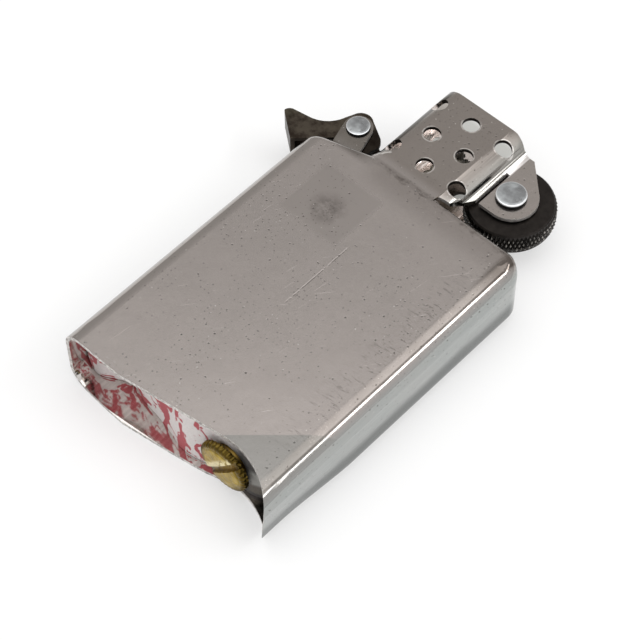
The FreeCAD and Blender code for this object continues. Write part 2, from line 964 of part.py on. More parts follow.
def arc_by_pole(start, pole, end):
    """The arc from start to end whose tangents there meet in the pole."""
    chord_middle = (start + end) * 0.5
    cosine = (chord_middle - start).Length / (pole - start).Length
    crest = chord_middle + (pole - chord_middle) * (cosine / (1 + cosine))
    return Part.Arc(start, crest, end).toShape()


def least_coil_gap(radius, rise, turns, wire):
    """The least distance between points a turn or more apart, less the wire."""
    steps = 48
    points = [
        Vector(
            radius * math.cos(2 * math.pi * i / steps),
            rise * i / (steps * turns),
            radius * math.sin(2 * math.pi * i / steps),
        )
        for i in range(steps * 3)
    ]
    spans = [
        points[i].distanceToPoint(points[j])
        for i in range(steps)
        for j in range(i + steps // 2, len(points))
    ]
    return min(spans) - 2 * wire


def flint_spring():
    wire = read("wire_round")
    radius = read("coil_round")
    turns = int(read("coil_turns"))
    low = (screw_end + size("wire_round") + size("coil_gap")).value
    high = (tip_top - tip_cap - size("wire_round") - size("coil_gap")).value
    path = coil_arcs(radius, high - low, turns)
    heading = path.Edges[0].tangentAt(path.Edges[0].FirstParameter)
    start = path.Edges[0].valueAt(path.Edges[0].FirstParameter)
    ring = Part.Wire([Part.makeCircle(wire, start, heading)])
    coil = doc.addObject("Part::Feature", "flint_spring_coil")
    coil.Label = "flint_spring"
    coil.Shape = path.makePipeShell([ring], True, False)
    coil.Placement = FreeCAD.Placement(Vector(wheel_x.value, low, mid.value), FreeCAD.Rotation())
    gap = least_coil_gap(radius, high - low, turns, wire)
    print(f"flint_spring: least gap to itself {gap:.2f} mm")
    parts["flint_spring"] = coil


flint_spring()


# Felt over the packing: one part held round the tube, one that lifts to let fuel in
felt_low = mouth + size("felt_depth")
felt_half = mid - wall - size("felt_clear")
felt_corner = size("section_round") - wall - size("felt_clear")
hinge_x = size("felt_hinge")


def felt(label, way, reach, circles=()):
    """A slab of felt from the hinge line to one end, with that end's corners rounded."""
    body = new_body(label)
    end = way * reach
    bend = way * felt_corner
    corners = [
        (hinge_x, mid - felt_half),
        (end - bend, mid - felt_half, bend),
        (end, mid - felt_half + felt_corner),
        (end, mid + felt_half - felt_corner, bend),
        (end - bend, mid + felt_half),
        (hinge_x, mid + felt_half),
    ]
    sketch = new_sketch(body, label + "_outline", "XZ_Plane", felt_low, [corners], circles)
    pad(body, sketch, size("felt_thick"))
    parts[label] = body


felt("felt_pad", 1, half_width - wall - size("felt_clear"), [
    (wheel_x, mid, size("tube_round") + size("felt_tube_clear")),
])
felt("felt_flap", -1, half_width - wall - size("flap_clear"))


# Wick: a braided cord round a strand of wire
wick_low = felt_low + size("felt_thick") + size("wick_gap")
wick_high = top + size("wick_above")
wick_corner = size("wick_round") - size("wick_bevel")
place(turned("wick", "XY_Plane", [
    (size("wire_strand"), wick_low),
    (size("wick_round"), wick_low),
    (size("wick_round"), wick_high - size("wick_bevel")),
    (wick_corner, wick_high),
    (size("wire_strand"), wick_high),
]), chimney_x, 0, mid)
strand = doc.addObject("Part::Cylinder", "wick_strand")
strand.Label = "wick_wire"
bind(strand, "Radius", size("wire_strand"))
bind(strand, "Height", wick_high - wick_low + size("wire_above"))
strand.Placement.Rotation = FreeCAD.Rotation(Vector(1, 0, 0), -90)
place(strand, chimney_x, wick_low, mid)
parts["wick_wire"] = strand


# Packing: cotton balls stuffed beside the wick and the tube
packing_gap = size("packing_gap")
packing_low = felt_low + size("felt_thick") + packing_gap
packing_side = half_width - wall - size("packing_clear")
packing_high = top - size("packing_drop")
packing_depth = thick - 2 * (wall + size("packing_clear"))
stack_right = chimney_x - size("wick_round") - packing_gap
stack_count = 3
stack_step = (packing_high - packing_low + packing_gap) / stack_count


def packing(number, left, right, low, high, softness):
    label = f"packing_{number}"
    body = new_body(label)
    corners = [(left, low), (right, low), (right, high), (left, high)]
    sketch = new_sketch(body, label + "_outline", "XY_Plane", mid, [corners])
    block = pad(body, sketch, packing_depth, both=True)
    soft = body.newObject("PartDesign::Fillet", label + "_soft")
    soft.Base = (block, [f"Edge{index + 1}" for index in range(len(block.Shape.Edges))])
    bind(soft, "Radius", softness)
    doc.recompute()
    parts[label] = body


for index in range(stack_count):
    ball_low = packing_low + index * stack_step
    ball_high = ball_low + stack_step - packing_gap
    softness = packing_depth * size("packing_soft_share")
    packing(index + 1, -packing_side, stack_right, ball_low, ball_high, softness)
beside_wick = chimney_x + size("wick_round") + packing_gap
beside_tube = size("tube_round") + packing_gap
narrow_blocks = [
    (beside_wick, wheel_x - beside_tube, plate_low - packing_gap),
    (wheel_x + beside_tube, packing_side, packing_high),
]
for number, (left, right, high) in enumerate(narrow_blocks, start=stack_count + 1):
    softness = (right - left) * size("packing_narrow_share")
    packing(number, left, right, packing_low, high, softness)


# Every object must have computed, and every piece must be one sound solid.
doc.recompute()
for item in doc.Objects:
    if "Invalid" in item.State or "Error" in item.State:
        raise ValueError(f"{item.Label} failed: {item.State}")
os.makedirs("parts", exist_ok=True)
for node, item in parts.items():
    shape = item.Shape
    if shape.isNull() or not shape.isValid():
        raise ValueError(f"{node} has no valid shape")
    print(f"{node}: {len(shape.Solids)} solid, {shape.Volume:.2f} cubic mm")
    shape.exportStep(f"parts/{node}.step")
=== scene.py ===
import math

import bpy
from mathutils import Euler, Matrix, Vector


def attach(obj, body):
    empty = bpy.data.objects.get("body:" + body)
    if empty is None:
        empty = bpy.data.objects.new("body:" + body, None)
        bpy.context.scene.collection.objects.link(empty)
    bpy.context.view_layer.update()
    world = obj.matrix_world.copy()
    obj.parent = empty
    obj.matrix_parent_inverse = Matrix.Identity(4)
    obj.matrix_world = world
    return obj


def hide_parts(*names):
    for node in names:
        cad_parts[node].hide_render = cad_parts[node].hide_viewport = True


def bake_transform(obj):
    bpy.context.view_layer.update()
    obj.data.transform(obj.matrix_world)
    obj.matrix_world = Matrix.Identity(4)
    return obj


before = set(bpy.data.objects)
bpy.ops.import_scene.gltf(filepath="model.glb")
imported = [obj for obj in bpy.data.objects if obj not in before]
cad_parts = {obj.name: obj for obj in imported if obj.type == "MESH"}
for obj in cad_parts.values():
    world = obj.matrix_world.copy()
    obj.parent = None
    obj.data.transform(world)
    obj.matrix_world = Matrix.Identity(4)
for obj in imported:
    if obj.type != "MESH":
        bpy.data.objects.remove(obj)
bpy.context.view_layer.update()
scene = bpy.context.scene
MM = 0.001

# Camera and view
# The unit lies on its broad face and is seen from its open end and wheel side, about 55 degrees up,
# through a long lens close by.
CAMERA_PLACE = Vector((85.409, -86.072, 180.068)) * MM
CAMERA_TURN = Euler([math.radians(a) for a in (34.61235, 0.42524, 43.16400)])
SENSOR = 36.0
FRAME_PIXELS = 640
FOCAL_PIXELS = 2142
CLIP_START = 0.01

camera_data = bpy.data.cameras.new("photo_camera")
camera_data.sensor_width = SENSOR
camera_data.lens = SENSOR * FOCAL_PIXELS / FRAME_PIXELS
camera_data.clip_start = CLIP_START
camera = bpy.data.objects.new("photo_camera", camera_data)
camera.location = CAMERA_PLACE
camera.rotation_euler = CAMERA_TURN
bpy.context.collection.objects.link(camera)
scene.camera = camera
scene.view_settings.view_transform = "Standard"

# Room
# A pale paper table under a soft box, with a bright panel low on the wheel side. The surround is dim beyond
# the cam, which shades the steel towards the chimney. The paper shows its plain colour for a part, so that it
# is white without more light on the lighter, and behind the chimney it has a soft grey patch of painted
# shadow.


def linear(colour):
    """The linear RGBA of an sRGB hex colour."""
    channels = [int(colour[start:start + 2], 16) / 255 for start in (1, 3, 5)]
    return [c / 12.92 if c <= 0.04045 else ((c + 0.055) / 1.055) ** 2.4 for c in channels] + [1.0]


def add_node(tree, kind, inputs=(), **settings):
    """Adds a node, with its settings, and with values or other nodes' outputs on its inputs."""
    node = tree.nodes.new("ShaderNode" + kind)
    for name, value in settings.items():
        setattr(node, name, value)
    for name, value in dict(inputs).items():
        if isinstance(value, bpy.types.NodeSocket):
            tree.links.new(value, node.inputs[name])
        else:
            node.inputs[name].default_value = value
    return node


DIM_WAY = Vector((-0.66, 0.75, 0)).normalized()
SURROUND_PALE = "#FFFFFF"
SURROUND_DIM = "#D6D4D2"
SURROUND_LEVEL = 0.82
DIM_FROM = -0.15
DIM_TO = 0.50
SOFT_BOX_SIZE = (0.62, 0.80)
SOFT_BOX_PLACE = Vector((0.02, 0.05, 0.60))
SOFT_BOX_RADIANCE = 0.92
PANEL_SIZE = (0.58, 0.09)
PANEL_WAY = Vector((0.61, 0.42, 0.67)).normalized()
PANEL_REACH = 0.80
PANEL_RADIANCE = 6.2
TABLE_SIDE = 6.0
TABLE_COLOUR = "#FFFFFF"
SHADE_COLOUR = "#C8C8C4"
SHADE_ENDS = ((-10.2, 1.0), (23.4, 35.4))
SHADE_SOFT = 1.6
PLAIN_SHARE = 0.45

world = bpy.data.worlds.new("surround")
world.use_nodes = True
scene.world = world
tree = world.node_tree
tree.nodes.clear()
way = add_node(tree, "TexCoord")
toward_dim = add_node(tree, "VectorMath", {0: way.outputs["Generated"], 1: DIM_WAY}, operation="DOT_PRODUCT")
dim = add_node(tree, "MapRange", {
    "Value": toward_dim.outputs["Value"], "From Min": DIM_FROM, "From Max": DIM_TO,
}, interpolation_type="SMOOTHSTEP")
surround = add_node(tree, "Mix", {
    "Factor": dim.outputs[0], 6: linear(SURROUND_PALE), 7: linear(SURROUND_DIM),
}, data_type="RGBA")
light = add_node(tree, "Background", {"Color": surround.outputs[2], "Strength": SURROUND_LEVEL})
add_node(tree, "OutputWorld", {"Surface": light.outputs[0]})


def add_lamp(name, size, place, radiance, turn):
    """A rectangular lamp, whose power is pi times its area for each unit of radiance."""
    data = bpy.data.lights.new(name, "AREA")
    data.shape = "RECTANGLE"
    data.size, data.size_y = size
    data.energy = radiance * math.pi * size[0] * size[1]
    lamp = bpy.data.objects.new(name, data)
    lamp.location = place
    lamp.rotation_euler = turn
    bpy.context.collection.objects.link(lamp)


add_lamp(
    "soft_box", SOFT_BOX_SIZE, SOFT_BOX_PLACE, SOFT_BOX_RADIANCE,
    Euler((0, 0, math.atan2(DIM_WAY.y, DIM_WAY.x))),
)
add_lamp(
    "side_panel", PANEL_SIZE, PANEL_WAY * PANEL_REACH, PANEL_RADIANCE,
    PANEL_WAY.to_track_quat("Z", "Y").to_euler(),
)


def new_material(name):
    """A material with an empty node tree, and that tree."""
    material = bpy.data.materials.new(name)
    material.use_nodes = True
    material.node_tree.nodes.clear()
    return material, material.node_tree


def millimetres(tree):
    """The point on the piece in millimetres, in the piece's own space, and its three coordinates."""
    place = add_node(tree, "TexCoord")
    point = add_node(tree, "VectorMath", {0: place.outputs["Object"], "Scale": 1 / MM}, operation="SCALE")
    axes = add_node(tree, "SeparateXYZ", {0: point.outputs[0]})
    return point.outputs[0], axes.outputs


def step(tree, value, start, end):
    """Rises smoothly from 0 at start to 1 at end, or falls where end is the lower."""
    turned = start > end
    node = add_node(tree, "MapRange", {
        "Value": value, "From Min": min(start, end), "From Max": max(start, end),
        "To Min": 1.0 if turned else 0.0, "To Max": 0.0 if turned else 1.0,
    }, interpolation_type="SMOOTHSTEP")
    return node.outputs[0]


def work_out(tree, operation, *values):
    """The result of a Math node on values or other nodes' outputs."""
    return add_node(tree, "Math", dict(enumerate(values)), operation=operation).outputs[0]


def all_of(tree, *shares):
    """The product of shares from 0 to 1, so 1 only where all of them are."""
    product = shares[0]
    for share in shares[1:]:
        product = work_out(tree, "MULTIPLY", product, share)
    return product


def within(tree, value, start, full, last, end):
    """Rises from 0 at start to 1 at full, and falls again from last to end."""
    return all_of(tree, step(tree, value, start, full), step(tree, value, end, last))


def tint(tree, share, low, high):
    """Mixes two colours, given as hex or as another node's output, by a share."""
    ends = [linear(c) if isinstance(c, str) else c for c in (low, high)]
    mixed = add_node(tree, "Mix", {"Factor": share, 6: ends[0], 7: ends[1]}, data_type="RGBA")
    return mixed.outputs[2]


bpy.ops.object.select_all(action="DESELECT")
bpy.ops.mesh.primitive_plane_add(size=TABLE_SIDE)
table = bpy.context.object
table.name = "table"
# Matt paper: white without a highlight, and grey behind the chimney as a painted shadow
paper, tree = new_material("matt_paper")
point, (x, y, z) = millimetres(tree)
# painted shadow: a soft grey patch on the paper behind the chimney
shade = all_of(tree, *(
    within(tree, value, start, start + SHADE_SOFT, end - SHADE_SOFT, end)
    for value, (start, end) in zip((x, y), SHADE_ENDS)
))
paper_tone = tint(tree, shade, TABLE_COLOUR, SHADE_COLOUR)
matt = add_node(tree, "BsdfDiffuse", {"Color": paper_tone})
plain = add_node(tree, "Emission", {"Color": paper_tone, "Strength": 1.0})
path = add_node(tree, "LightPath").outputs
looked_at = path["Is Camera Ray"]
for ray in ("Is Glossy Ray", "Is Transmission Ray"):
    looked_at = work_out(tree, "MAXIMUM", looked_at, path[ray])
seen = add_node(tree, "MixShader", {
    0: all_of(tree, looked_at, PLAIN_SHARE), 1: matt.outputs[0], 2: plain.outputs[0],
})
add_node(tree, "OutputMaterial", {"Surface": seen.outputs[0]})
table.data.materials.append(paper)

# Drawn shell
# One piece of thin stainless steel, deep drawn, then pierced and cut at the chimney and the open end.
# Its faces are worn satin with fine pits, rubbing marks and a few long scratches.
JOIN_WITHIN = 0.001 * MM
FLAT_WITHIN = math.radians(0.3)
SMOOTH_BELOW = math.radians(32)


def only(piece):
    """Makes this piece the one that operators act on."""
    bpy.ops.object.select_all(action="DESELECT")
    piece.select_set(True)
    bpy.context.view_layer.objects.active = piece


def solid_copy(node, name):
    """A new piece from a copy of a CAD node's mesh, with its loose triangles joined into faces."""
    piece = bpy.data.objects.new(name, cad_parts[node].data.copy())
    piece.data.materials.clear()
    bpy.context.collection.objects.link(piece)
    only(piece)
    bpy.ops.mesh.customdata_custom_splitnormals_clear()
    bpy.ops.object.mode_set(mode="EDIT")
    bpy.ops.mesh.select_all(action="SELECT")
    bpy.ops.mesh.remove_doubles(threshold=JOIN_WITHIN)
    bpy.ops.mesh.dissolve_limited(angle_limit=FLAT_WITHIN)
    bpy.ops.object.mode_set(mode="OBJECT")
    return piece


def choose(piece, kind, wanted):
    """Selects just the vertices, edges or faces that the test wants, and leaves the piece in edit mode."""
    bpy.ops.object.mode_set(mode="OBJECT")
    only(piece)
    bpy.ops.object.mode_set(mode="EDIT")
    bpy.ops.mesh.select_mode(type={"vertices": "VERT", "edges": "EDGE", "polygons": "FACE"}[kind])
    bpy.ops.mesh.select_all(action="DESELECT")
    bpy.ops.object.mode_set(mode="OBJECT")
    for item in getattr(piece.data, kind):
        item.select = wanted(item)
    bpy.ops.object.mode_set(mode="EDIT")


def apply_modifier(piece, kind, **settings):
    """Adds a modifier with its settings and applies it."""
    only(piece)
    modifier = piece.modifiers.new(kind.lower(), kind)
    for name, value in settings.items():
        setattr(modifier, name, value)
    bpy.ops.object.modifier_apply(modifier=modifier.name)


def noise(tree, point, stretch, detail=3.0, roughness=0.6, turn=0.0, twist=0.0):
    """Noise with so many waves to the millimetre, one number or one for each axis, after a turn about Z."""
    if not isinstance(stretch, tuple):
        stretch = (stretch,) * 3
    turned = add_node(tree, "VectorRotate", {"Vector": point, "Angle": math.radians(turn)},
                      rotation_type="Z_AXIS")
    spread = add_node(tree, "VectorMath", {0: turned.outputs[0], 1: stretch}, operation="MULTIPLY")
    return add_node(tree, "TexNoise", {
        "Vector": spread.outputs[0], "Scale": 1.0, "Detail": detail, "Roughness": roughness,
        "Distortion": twist,
    }).outputs[0]


def away(tree, value, middle):
    """How far a value is from a middle, on either side."""
    return work_out(tree, "ABSOLUTE", work_out(tree, "SUBTRACT", value, middle))


def distance(tree, point, place, ways=(1, 1, 1)):
    """How far a point is from a place, counted along the axes whose way is 1."""
    apart = add_node(tree, "VectorMath", {0: point, 1: place}, operation="SUBTRACT").outputs[0]
    counted = add_node(tree, "VectorMath", {0: apart, 1: ways}, operation="MULTIPLY").outputs[0]
    return add_node(tree, "VectorMath", {0: counted}, operation="LENGTH").outputs["Value"]


def over(tree, base, colour, strength, *shares):
    """Lays a hex colour over a base at a strength, where all the shares are 1."""
    return tint(tree, all_of(tree, *shares, strength), base, colour)


SPOT_SLANT = 1.3
SPOT_UNEVEN = 0.6
SPOT_GATHER = 1.6
SPOT_RIM = (1.7, 1.2)


def spots(tree, point, cells, radius, share):
    """Ragged spots in about a share of the cells, so many cells to the millimetre. 1 inside a spot."""
    axes = add_node(tree, "SeparateXYZ", {0: point}).outputs
    # the first coordinate runs on from the broad face down the sides
    slant = work_out(tree, "MULTIPLY", axes[2], SPOT_SLANT)
    around = work_out(tree, "SUBTRACT", work_out(tree, "ABSOLUTE", axes[0]), slant)
    skin = add_node(tree, "CombineXYZ", {0: around, 1: axes[1], 2: 0.0}).outputs[0]
    grid = add_node(tree, "TexVoronoi", {"Vector": skin, "Scale": cells}, voronoi_dimensions="2D").outputs
    chance, size = add_node(tree, "SeparateColor", {0: grid["Color"]}).outputs[:2]
    reach = grid["Distance"]
    for more in (noise(tree, point, 6, 2.0), work_out(tree, "MULTIPLY", size, SPOT_UNEVEN)):
        reach = work_out(tree, "ADD", reach, work_out(tree, "MULTIPLY", more, radius))
    clouds = work_out(tree, "SUBTRACT", noise(tree, point, 0.11, 2.0), 0.5)
    chance = work_out(tree, "ADD", chance, work_out(tree, "MULTIPLY", clouds, SPOT_GATHER))
    fades, inside = (radius * edge for edge in SPOT_RIM)
    return all_of(tree, step(tree, reach, fades, inside), step(tree, chance, share + 0.01, share))


def mix_values(tree, share, low, high):
    """Mixes two values, such as roughness, by a share."""
    node = add_node(tree, "Mix", {"Factor": share, 2: low, 3: high}, data_type="FLOAT")
    return node.outputs[0]


def relief(tree, height, depth, before=None):
    """Bump of the given depth in millimetres, laid over an earlier one."""
    inputs = {"Height": height, "Distance": depth * MM, "Strength": 1.0}
    if before is not None:
        inputs["Normal"] = before
    return add_node(tree, "Bump", inputs).outputs[0]


def coat(tree, colour, roughness, metal=1.0, normal=None, **more):
    """The principled surface that a material ends in."""
    inputs = {"Base Color": colour, "Metallic": metal, "Roughness": roughness, **more}
    if normal is not None:
        inputs["Normal"] = normal
    surface = add_node(tree, "BsdfPrincipled", inputs)
    add_node(tree, "OutputMaterial", {"Surface": surface.outputs[0]})


BODY_TOP = 18.35
MID = 4.3
SHELL_BEVEL = 0.07
BEVEL_OVER = math.radians(40)
# the lower lip's long edges, which are lower and nearer than these, and the heights over which its form fades
LIP_SPANS = 10
LIP_HIGH = 0.6
LIP_BACK = -15.9
LIP_LONG = 3.0
LIP_FADE = (2.4, 0.5)
LIP_PULLS = [
    # X across the lower lip, and how far the cut there stands out past the drawn form
    (-14.0, 0.0), (-12.6, 0.06), (-11.0, 0.20), (-8.0, 0.38), (-4.0, 0.45), (0.0, 0.48), (3.5, 0.42),
    (6.5, 0.0),
]
# the near lower corner on the wheel side, drawn in more towards the second value of each pair
CORNER_CUTS = (-16.5, -15.0, -13.5, -12.0, -10.5, -9.0, -7.5)
CORNER_ALONG = (-6.0, -17.0)
CORNER_ACROSS = (11.6, 13.6)
CORNER_HIGH = (5.5, 2.5)
CORNER_PULL = Vector((-0.45, 0, 0.35))
FOOT_LINE = [
    # X down the joggle, and how high its outer skin lies over the mid plane from the shoulder to the ear
    (3.28, 3.09), (3.40, 2.64), (4.23, 2.08),
]
# the skin outside this slope from the chimney's shoulder is the joggle's foot
FOOT_START = 3.3
FOOT_HIGH = 2.75
FOOT_SLOPE = 0.95
# marks and a painted reflection on the broad face
SMUDGE_CORE = (-5.3, 9.8, 8.6)
GOUGE_PLACE = -0.38
REFLECTION_SLOPE = 0.929
REFLECTION_START = -21.78
# the chimney and its holes, as shares of their spread across and rows up
CHIMNEY_MIDDLE = -2.05
CHIMNEY_HALF = 6.05
PIERCED = ((0, 0), (1, 0), (-0.5, 1), (0.5, 1), (0, 2), (1, 2))
HOLE_SPREAD = 4.4
HOLE_FIRST = 2.65
HOLE_ROW = 3.66
HOLE_ROUND = 0.95
SOOT_PLACE = (-1.1, 25.3, 0.9)
# where the edges of the ears and of the sheet lie from the mid plane, and how upright they are
EAR_MIDDLE = 1.88
EAR_HALF = 0.24
WHEEL_EAR_FROM = 3.4
CAM_EAR_TO = -7.6
SHEET_MIDDLE = 3.58
SHEET_HALF = 0.23
RIM_MIDDLE = 3.78
RIM_HALF = 0.06
RIM_LEANS = 0.2
WALL_AREA = 0.14
MOUTH_LONG = 3.3
UPRIGHT = 0.3
LEANING = 0.97
MOUTH_FACING = 0.5
OVER_TOP = 0.1
UNDER_TOP = 0.9

shell = solid_copy("insert_case", "drawn_shell")


def between(table, x):
    """The value at x on the straight lines through a table of pairs, and 0 outside them."""
    for (low, first), (high, last) in zip(table, table[1:]):
        if low <= x <= high:
            return first + (last - first) * (x - low) / (high - low)
    return 0.0


def smooth(low, high, value):
    """Rises smoothly from 0 at low to 1 at high."""
    share = min(max((value - low) / (high - low), 0.0), 1.0)
    return share * share * (3 - 2 * share)


def on_lower_lip(edge):
    first, second = (shell.data.vertices[index].co / MM for index in edge.vertices)
    low = max(first.z, second.z) < LIP_HIGH and max(first.y, second.y) < LIP_BACK
    return low and abs(first.x - second.x) > LIP_LONG


choose(shell, "edges", on_lower_lip)
bpy.ops.mesh.subdivide(number_cuts=LIP_SPANS)
for cut in CORNER_CUTS:
    bpy.ops.mesh.select_all(action="SELECT")
    bpy.ops.mesh.bisect(plane_co=(0, cut * MM, 0), plane_no=(0, 1, 0))
bpy.ops.object.mode_set(mode="OBJECT")
for vertex in shell.data.vertices:
    x, y, z = vertex.co / MM
    if y < LIP_BACK:
        vertex.co.y -= between(LIP_PULLS, x) * smooth(*LIP_FADE, z) * MM
    corner = smooth(*CORNER_ALONG, y) * smooth(*CORNER_ACROSS, x) * smooth(*CORNER_HIGH, z)
    vertex.co += corner * CORNER_PULL * MM
    outer = abs(z - MID) > FOOT_HIGH - FOOT_SLOPE * (x - FOOT_START)
    if y > BODY_TOP and outer:
        height = min(abs(z - MID), between(FOOT_LINE, x) or abs(z - MID))
        vertex.co.z = (MID + math.copysign(height, z - MID)) * MM
apply_modifier(
    shell, "BEVEL", width=SHELL_BEVEL * MM, segments=2, limit_method="ANGLE", angle_limit=BEVEL_OVER,
    harden_normals=False, miter_outer="MITER_ARC",
)
bpy.ops.object.shade_smooth_by_angle(angle=SMOOTH_BELOW)
apply_modifier(shell, "WEIGHTED_NORMAL", keep_sharp=True)

# Worn satin steel: warm on the drawn faces; the sides, which the case has rubbed lengthwise, are painted a
# darker, cooler grey as shade
worn, tree = new_material("worn_satin_stainless")
point, (x, y, z) = millimetres(tree)
from_mid = away(tree, z, MID)
beyond_chimney = away(tree, x, CHIMNEY_MIDDLE)
ears = all_of(
    tree, step(tree, y, BODY_TOP + 0.2, BODY_TOP + 0.4),
    step(tree, beyond_chimney, CHIMNEY_HALF, CHIMNEY_HALF + 0.2),
)
cam_ear_root = all_of(
    tree, within(tree, x, -13.6, -13.4, -8.8, -8.5), step(tree, y, 16.6, 16.8),
    within(tree, from_mid, 1.60, 1.65, 2.13, 2.18),
)
ears = work_out(tree, "MAXIMUM", ears, cam_ear_root)
face = work_out(tree, "MAXIMUM", step(tree, from_mid, 3.1, 4.0), ears)
# the sides are a darker, cooler grey than the faces: painted shade for what they mirror
base = tint(tree, face, "#A2A5A3", "#B3ACA8")
base = over(tree, base, "#C4BBB7", 0.14, step(tree, noise(tree, point, 0.12, 4.0), 0.35, 0.7))
# the chimney is painted darker, painted shade for its dimmer reflection
tower = step(tree, y, BODY_TOP + 0.1, BODY_TOP + 1.4)
base = over(tree, base, "#84796F", 0.42, tower)
# the ears are painted darker on the cam side and lighter on the wheel side, as painted shade and light
base = over(tree, base, "#77736C", 0.62, ears, step(tree, x, 0.0, -5.0))
base = over(tree, base, "#C4BEBA", 0.35, ears, step(tree, x, 0.0, 3.0))
# shade under the foot of the chimney, darker beside the cam
top_shade = all_of(tree, within(tree, y, 14.0, 17.0, 18.1, 18.5), step(tree, x, -7.0, -4.0), face)
base = over(tree, base, "#756C66", 0.30, top_shade)
beside_cam = all_of(tree, within(tree, y, 16.2, 17.2, 18.1, 18.5), step(tree, x, -5.0, -8.5), face)
base = over(tree, base, "#5C5650", 0.60, beside_cam)
# a painted reflection: a cooler patch with a straight edge across the corner beside the screw
reflection_edge = work_out(tree, "ADD", all_of(tree, x, REFLECTION_SLOPE), REFLECTION_START)
reflection_patch = all_of(tree, step(tree, work_out(tree, "SUBTRACT", y, reflection_edge), 0.1, -0.1), face)
base = over(tree, base, "#8E908D", 0.6, reflection_patch)
# a smudged square of old handling near the cam
smudge_noise = noise(tree, point, 0.55, 5.0, 0.7)
smudge = all_of(tree, within(tree, x, -9.6, -8.9, -1.9, -1.2), within(tree, y, 6.4, 7.4, 13.8, 14.6), face)
core = step(tree, distance(tree, point, SMUDGE_CORE), 2.6, 0.4)
base = over(tree, base, "#7C7672", 0.34, smudge)
base = over(tree, base, "#5E5854", 0.62, core, step(tree, smudge_noise, 0.38, 0.62))
# pits and specks
pits = spots(tree, point, 0.80, 0.085, 0.34)
base = over(tree, base, "#3E3A37", 0.62, pits)
base = over(tree, base, "#5E5854", 0.45, spots(tree, point, 1.7, 0.150, 0.34))
base = over(tree, base, "#E0DCD8", 0.7, spots(tree, point, 1.1, 0.070, 0.14))
# fine rubbing: short strokes across the wheel edge, hairlines along the sides and long scratches on the face
strokes = noise(tree, point, (0.60, 3.0, 1.0), 3.0, 0.7, turn=-6.0)
near_edge = all_of(
    tree, within(tree, x, 8.2, 10.4, 11.2, 12.2), within(tree, y, -15.0, -12.0, 12.0, 15.0), face,
)
strokes = all_of(tree, step(tree, strokes, 0.54, 0.68), near_edge)
base = over(tree, base, "#6E6864", 0.48, strokes)
gritty = all_of(
    tree, within(tree, x, 11.4, 12.0, 12.4, 13.0), face,
    step(tree, noise(tree, point, 4.5, 3.0, 0.7), 0.56, 0.70),
    step(tree, noise(tree, point, 0.3, 2.0), 0.46, 0.58),
)
base = over(tree, base, "#E8DED8", 0.5, gritty)
# the wheel-side rounding, darker in patches and with a dark line before it turns down, with painted shade
# over its upper end that fades its reflected band
patchy = noise(tree, point, (0.8, 0.35, 0.8), 4.0, 0.7)
darkened_rounding = all_of(tree, within(tree, x, 11.6, 12.2, 12.8, 13.0), face, mix_values(tree, patchy, 0.25, 1.0))
base = over(tree, base, "#7E766F", 0.75, darkened_rounding)
# painted shade over the rounding's upper end, which fades its reflected band
shaded_rounding_end = all_of(tree, within(tree, x, 11.3, 11.9, 12.8, 13.1), step(tree, y, 11.5, 15.5), face)
base = over(tree, base, "#645C56", 0.62, shaded_rounding_end)
dark_line = all_of(
    tree, step(tree, away(tree, x, 12.78), 0.16, 0.04), face,
    mix_values(tree, patchy, 0.3, 1.0),
)
base = over(tree, base, "#4E463E", 0.55, dark_line)
hair = noise(tree, point, (7.0, 0.12, 7.0), 4.0, 0.75)
below_top = step(tree, y, BODY_TOP, BODY_TOP - 0.6)
hair = all_of(tree, step(tree, hair, 0.50, 0.72), work_out(tree, "SUBTRACT", 1.0, face), below_top)
base = over(tree, base, "#C8CAC8", 0.4, hair)
cross = noise(tree, point, (0.16, 5.0, 1.0), 2.0, 0.55, turn=-52.0)
lengthwise = noise(tree, point, (5.0, 0.14, 1.0), 2.0, 0.55, turn=8.0)
scratches = work_out(tree, "MAXIMUM", step(tree, cross, 0.72, 0.78), step(tree, lengthwise, 0.73, 0.79))
scratches = all_of(tree, scratches, face)
base = over(tree, base, "#C8C0BC", 0.12, scratches)
gouge = all_of(
    tree, step(tree, away(tree, x, GOUGE_PLACE), 0.10, 0.04), within(tree, y, -1.7, -1.2, 7.4, 7.9), face,
)
gouge = all_of(tree, gouge, step(tree, noise(tree, point, (1.0, 1.6, 1.0)), 0.36, 0.56))
base = over(tree, base, "#5E5854", 0.45, gouge)
# dirt along the foot of the chimney; dark low bands on the wheel side and a darker cam edge are painted shade
foot = all_of(
    tree, step(tree, away(tree, y, 17.75), 0.75, 0.15), face,
    step(tree, noise(tree, point, (0.7, 1.1, 0.7), 5.0, 0.7), 0.50, 0.66), step(tree, x, -7.5, -5.5),
)
base = over(tree, base, "#5A524C", 0.6, foot)
# painted shade: the wheel side is darker low down
low_shade_edge = work_out(tree, "ADD", z, noise(tree, point, (0.7, 0.16, 0.7), 3.0, 0.5))
base = over(tree, base, "#545755", 0.78, step(tree, low_shade_edge, 5.3, 3.5), step(tree, x, 12.6, 13.6))
# painted shade: the cam edge is darker
base = over(tree, base, "#73736C", 0.20, step(tree, x, -11.6, -12.8), below_top)
grain = noise(tree, point, 2.4, 5.0, 0.7)
wave = noise(tree, point, 0.22, 2.0, 0.5)
normal = relief(tree, wave, 0.02)
normal = relief(tree, grain, 0.0035, normal)
normal = relief(tree, work_out(tree, "ADD", hair, scratches), 0.004, normal)
normal = relief(tree, all_of(tree, work_out(tree, "MAXIMUM", pits, gouge), -1.0), 0.02, normal)
flat = all_of(tree, face, step(tree, work_out(tree, "ABSOLUTE", x), 12.5, 11.9))
rough = mix_values(tree, grain, mix_values(tree, flat, 0.07, 0.17), mix_values(tree, flat, 0.14, 0.31))
rough = mix_values(tree, all_of(tree, smudge, 0.5), rough, 0.38)
shoulder = all_of(
    tree, tower, within(tree, x, 1.5, 2.1, 3.30, 3.40),
    work_out(tree, "MAXIMUM", step(tree, y, 20.4, 21.2), step(tree, x, 2.9, 2.5)),
)
rough = mix_values(tree, shoulder, rough, 0.52)
